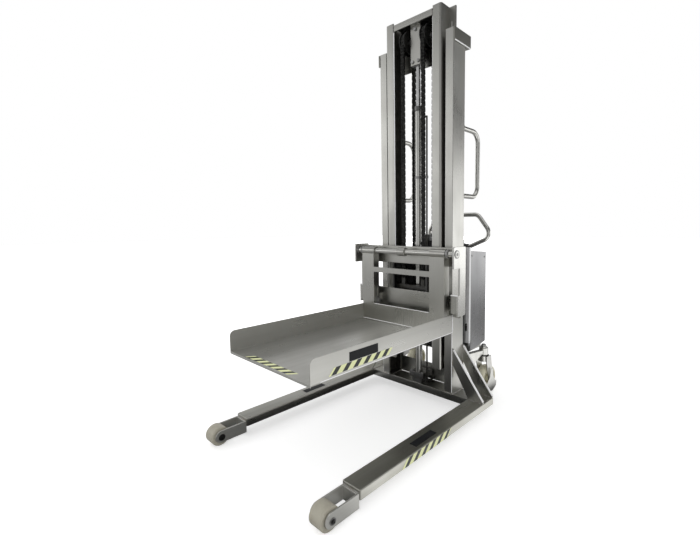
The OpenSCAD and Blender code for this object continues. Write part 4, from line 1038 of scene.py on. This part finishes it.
console_bm = bmesh.new()
CONSOLE_Y, CONSOLE_TOP, SWITCH_X = 443, 880, 45
for x, *collar in ((0, 17, 11, 3, 32), (SWITCH_X, 15, 10.3, 2.5, 32), (-SWITCH_X, 21, 12.4, 2.5, 36)):
    add_ring(console_bm, at(x, CONSOLE_Y, CONSOLE_TOP), Z, *collar, 0.8)
finished("console_collars", console_bm, zinc, "chassis")
boot_bm = bmesh.new()
FOLDS, FOLD_H, BOOT_FOOT = 5, 4.6, 883
FOLD_SHAPE = ((0, 0), (0, 1.8), (2.2, 2.6), (2.2, 4.2))         # inward and upward in each fold
outside = [(15.5 - 1.9 * k - inward, BOOT_FOOT + FOLD_H * k + upward)
           for k in range(FOLDS) for inward, upward in FOLD_SHAPE]
inside = [(4.4, BOOT_FOOT + FOLD_H * FOLDS), (4.4, 899), (11.4, BOOT_FOOT)]
add_lathe(boot_bm, at(0, CONSOLE_Y, 0), Z, outside + inside, 32)
boot = finished("lever_boot", boot_bm, rubber, None)
at(0, CONSOLE_Y, 884)
at(0, CONSOLE_Y, 902)
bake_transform(boot)
dial_bm = bmesh.new()
dial_place = at(SWITCH_X, 416, CONSOLE_TOP)
add_ring(dial_bm, dial_place, Z, 10, 7.6, 3, 36, 0.8)
finished("dial_rim", dial_bm, zinc, "chassis")
dial_bm = bmesh.new()
add_disc(dial_bm, dial_place, Z, 7.6, 1.5, 36, 0.3)
finished("dial_window", dial_bm, glass_window, "chassis")
foot_bm = bmesh.new()
slope = radians(22.5)
for s in (-1, 1):
    outward = (X * s * cos(slope) + Z * sin(slope)).normalized()
    add_ring(foot_bm, at(s * 75, CONSOLE_Y, 857.5), outward, 19, 12.6, 5, 32, 1)
finished("loop_collars", foot_bm, console_black, "chassis")

# Handles

handle_bm = bmesh.new()
HANDLE_TUBE = 13
half_handle = ((116, HANDLE_LOW), (HANDLE_Y, HANDLE_LOW))
for s in (-1, 1):
    corners = [at(s * HANDLE_X, y, z) for y, z in half_handle]
    corners += [at(s * HANDLE_X, y, HANDLE_TOP) for y, z in reversed(half_handle)]
    add_tube(handle_bm, corners, HANDLE_TUBE, 58)
    for z in (HANDLE_LOW, HANDLE_TOP):
        add_disc(handle_bm, at(s * HANDLE_X, 113, z), Y, 20, 5, 32, 1.0)
finished("grab_handles_shape", handle_bm, handle_steel, "chassis", ("grab_handles",))

loop_bm = bmesh.new()
half_loop = ((75, 857), (222, 918), (222, 969), (147, 1064))
corners = [at(-x, CONSOLE_Y, z) for x, z in half_loop] + [at(x, CONSOLE_Y, z) for x, z in reversed(half_loop)]
add_tube(loop_bm, corners, HANDLE_TUBE, 48)
finished("loop_handle_shape", loop_bm, handle_steel, "chassis", ("loop_handle",))

# Carriage and inner mast hardware

# Painted highlight down the front corner of each inner rail.
edge_bm = bmesh.new()
for s in (-1, 1):
    add_highlight_bar(edge_bm, at(s * 134.6, -12.5, 230), at(s * 134.6, -12.5, 2095), 3.4)
finished("inner_rail_painted_highlights", edge_bm, painted_highlight_edge, "inner_mast")

# Lips bent inward from the side plates, with a painted highlight along the upper edge
edge_bm, lip_bm = bmesh.new(), bmesh.new()
LIP_X, LIP_Y, LIP_TOP = 307, -97, 650
for s in (-1, 1):
    y, z = LIP_Y + 0.8, LIP_TOP - 0.4
    add_highlight_bar(edge_bm, at(s * LIP_X, y, z), at(s * 349, y, z), 3.4)
    left, right = sorted((s * LIP_X, s * 340.5))
    add_block(lip_bm, at(left, LIP_Y, 556), at(right, LIP_Y + 7, LIP_TOP), 1.2)
finished("side_plate_painted_highlights", edge_bm, painted_highlight_edge, "carriage")
finished("side_plate_lips", lip_bm, steel_along["z"], "carriage")

shaft_bm = bmesh.new()
SHAFT_Y, SHAFT_Z, SHAFT_BORE = -109, 857, 15.1
COLLARS = ((350, 1, 21, 2.2, 0.5), (293, 1, 22, 12, 1.0), (339.6, -1, 20, 9, 1.0))
for s in (-1, 1):
    for x, way, outer, length, bevel in COLLARS:
        add_ring(shaft_bm, at(s * x, SHAFT_Y, SHAFT_Z), X * s * way, outer, SHAFT_BORE, length, 36, bevel)
    add_disc(shaft_bm, at(s * 353, SHAFT_Y, SHAFT_Z), X * s, 9, 0.6, 24, 0.2)
    add_socket_screw(shaft_bm, at(s * 299, SHAFT_Y, 878.5), Z, 4)
finished("shaft_collars", shaft_bm, zinc, "carriage")

lock_bm = bmesh.new()
LOCK_X, LOCK_Y = -187, -101
add_block(lock_bm, at(-198, -112, 552), at(-194, -90, 590), 0.8)
add_block(lock_bm, at(-194, -109, 558), at(-180, -93, 582), 1.6)
add_disc(lock_bm, at(LOCK_X, LOCK_Y, 552), Z, 4.2, 6, 16, 0.5)
for z in (556, 586):
    add_disc(lock_bm, at(-194, -94.5, z), X, 2.6, 2.4, 6, 0.4)
finished("tray_lock", lock_bm, zinc, "tray")
rod_bm = bmesh.new()
add_disc(rod_bm, at(LOCK_X, LOCK_Y, 582), Z, 3.2, 62, 16, 0.5)
add_disc(rod_bm, at(LOCK_X, LOCK_Y, 644), Z, 5.2, 10, 16, 2.5)
finished("tray_lock_rod", rod_bm, dark_steel, "tray")

axle_bm, head_bm = bmesh.new(), bmesh.new()
add_block(head_bm, at(-148, 14, 2096.5), at(148, 104, 2099.5), 1.0)
finished("head_lid", head_bm, rubber, "inner_mast")
for s in (-1, 1):
    add_ring(axle_bm, at(s * 93.3, AXLE_Y, AXLE_Z), X * s, 15, 6, 1.6, 28, 0.4)
    add_hex_bolt(axle_bm, at(s * 93.5, AXLE_Y, AXLE_Z), X * s, 10)
add_hex_bolt(axle_bm, at(0, 12, 2050), -Y, 10, spin=0.4)
add_disc(axle_bm, at(0, AXLE_Y, 2030), Z, 9, 6, 6, 0.8)
finished("pulley_axle_bolts", axle_bm, zinc, "inner_mast")

# Castors

CASTOR_X, SWIVEL_Y, WHEEL_Y, WHEEL_Z = 268, 318, 346, 80
GUARD_X, GUARD_T = 312.6, 2.5
GUARD_OUTLINE = ((267, 58), (278, 31), (310, 16), (350, 12), (392, 33), (395, 57), (372, 76), (356, 104),
                 (352, 150), (326, 150), (314, 104))
HUB_RIVETS, RIVET_CIRCLE = 6, 40
for side_name, s in SIDES:
    fork, wheel = "castor_fork_" + side_name, "castor_wheel_" + side_name
    guard_bm = bmesh.new()
    corners = [guard_bm.verts.new(at(s * GUARD_X, y, z)) for y, z in GUARD_OUTLINE]
    sheet = guard_bm.faces.new(corners)
    raise_faces(guard_bm, [sheet], X * s * mm(GUARD_T))
    bmesh.ops.recalc_face_normals(guard_bm, faces=guard_bm.faces)
    rounded_edges(guard_bm, guard_bm.faces[:], 0.8)
    finished("castor_guard_" + side_name, guard_bm, painted_light_sheet, fork)
    seal_bm, stem_bm, hub_bm = bmesh.new(), bmesh.new(), bmesh.new()
    add_ring(seal_bm, at(s * CASTOR_X, SWIVEL_Y, 229), Z, 30, 20.3, 3, 40, 0.8)
    add_hex_bolt(stem_bm, at(s * CASTOR_X, SWIVEL_Y, 283), Z, 15, spin=0.3)
    for t in (-1, 1):
        add_disc(stem_bm, at(s * CASTOR_X + t * 42, WHEEL_Y, WHEEL_Z), X * t, 5, 3.5, 16, 1)
        add_ring(hub_bm, at(s * CASTOR_X + t * 28, WHEEL_Y, WHEEL_Z), X * t, 19, 8, 1.6, 36, 0.4)
        for k in range(HUB_RIVETS):
            a = 2 * pi * k / HUB_RIVETS
            y, z = WHEEL_Y + RIVET_CIRCLE * cos(a), WHEEL_Z + RIVET_CIRCLE * sin(a)
            add_disc(hub_bm, at(s * CASTOR_X + t * 10, y, z), X * t, 3.4, 3, 12, 0.8)
    finished("castor_bolts_" + side_name, stem_bm, zinc, fork)
    finished("castor_seal_" + side_name, seal_bm, rubber, fork)
    finished("castor_hub_" + side_name, hub_bm, zinc, wheel)
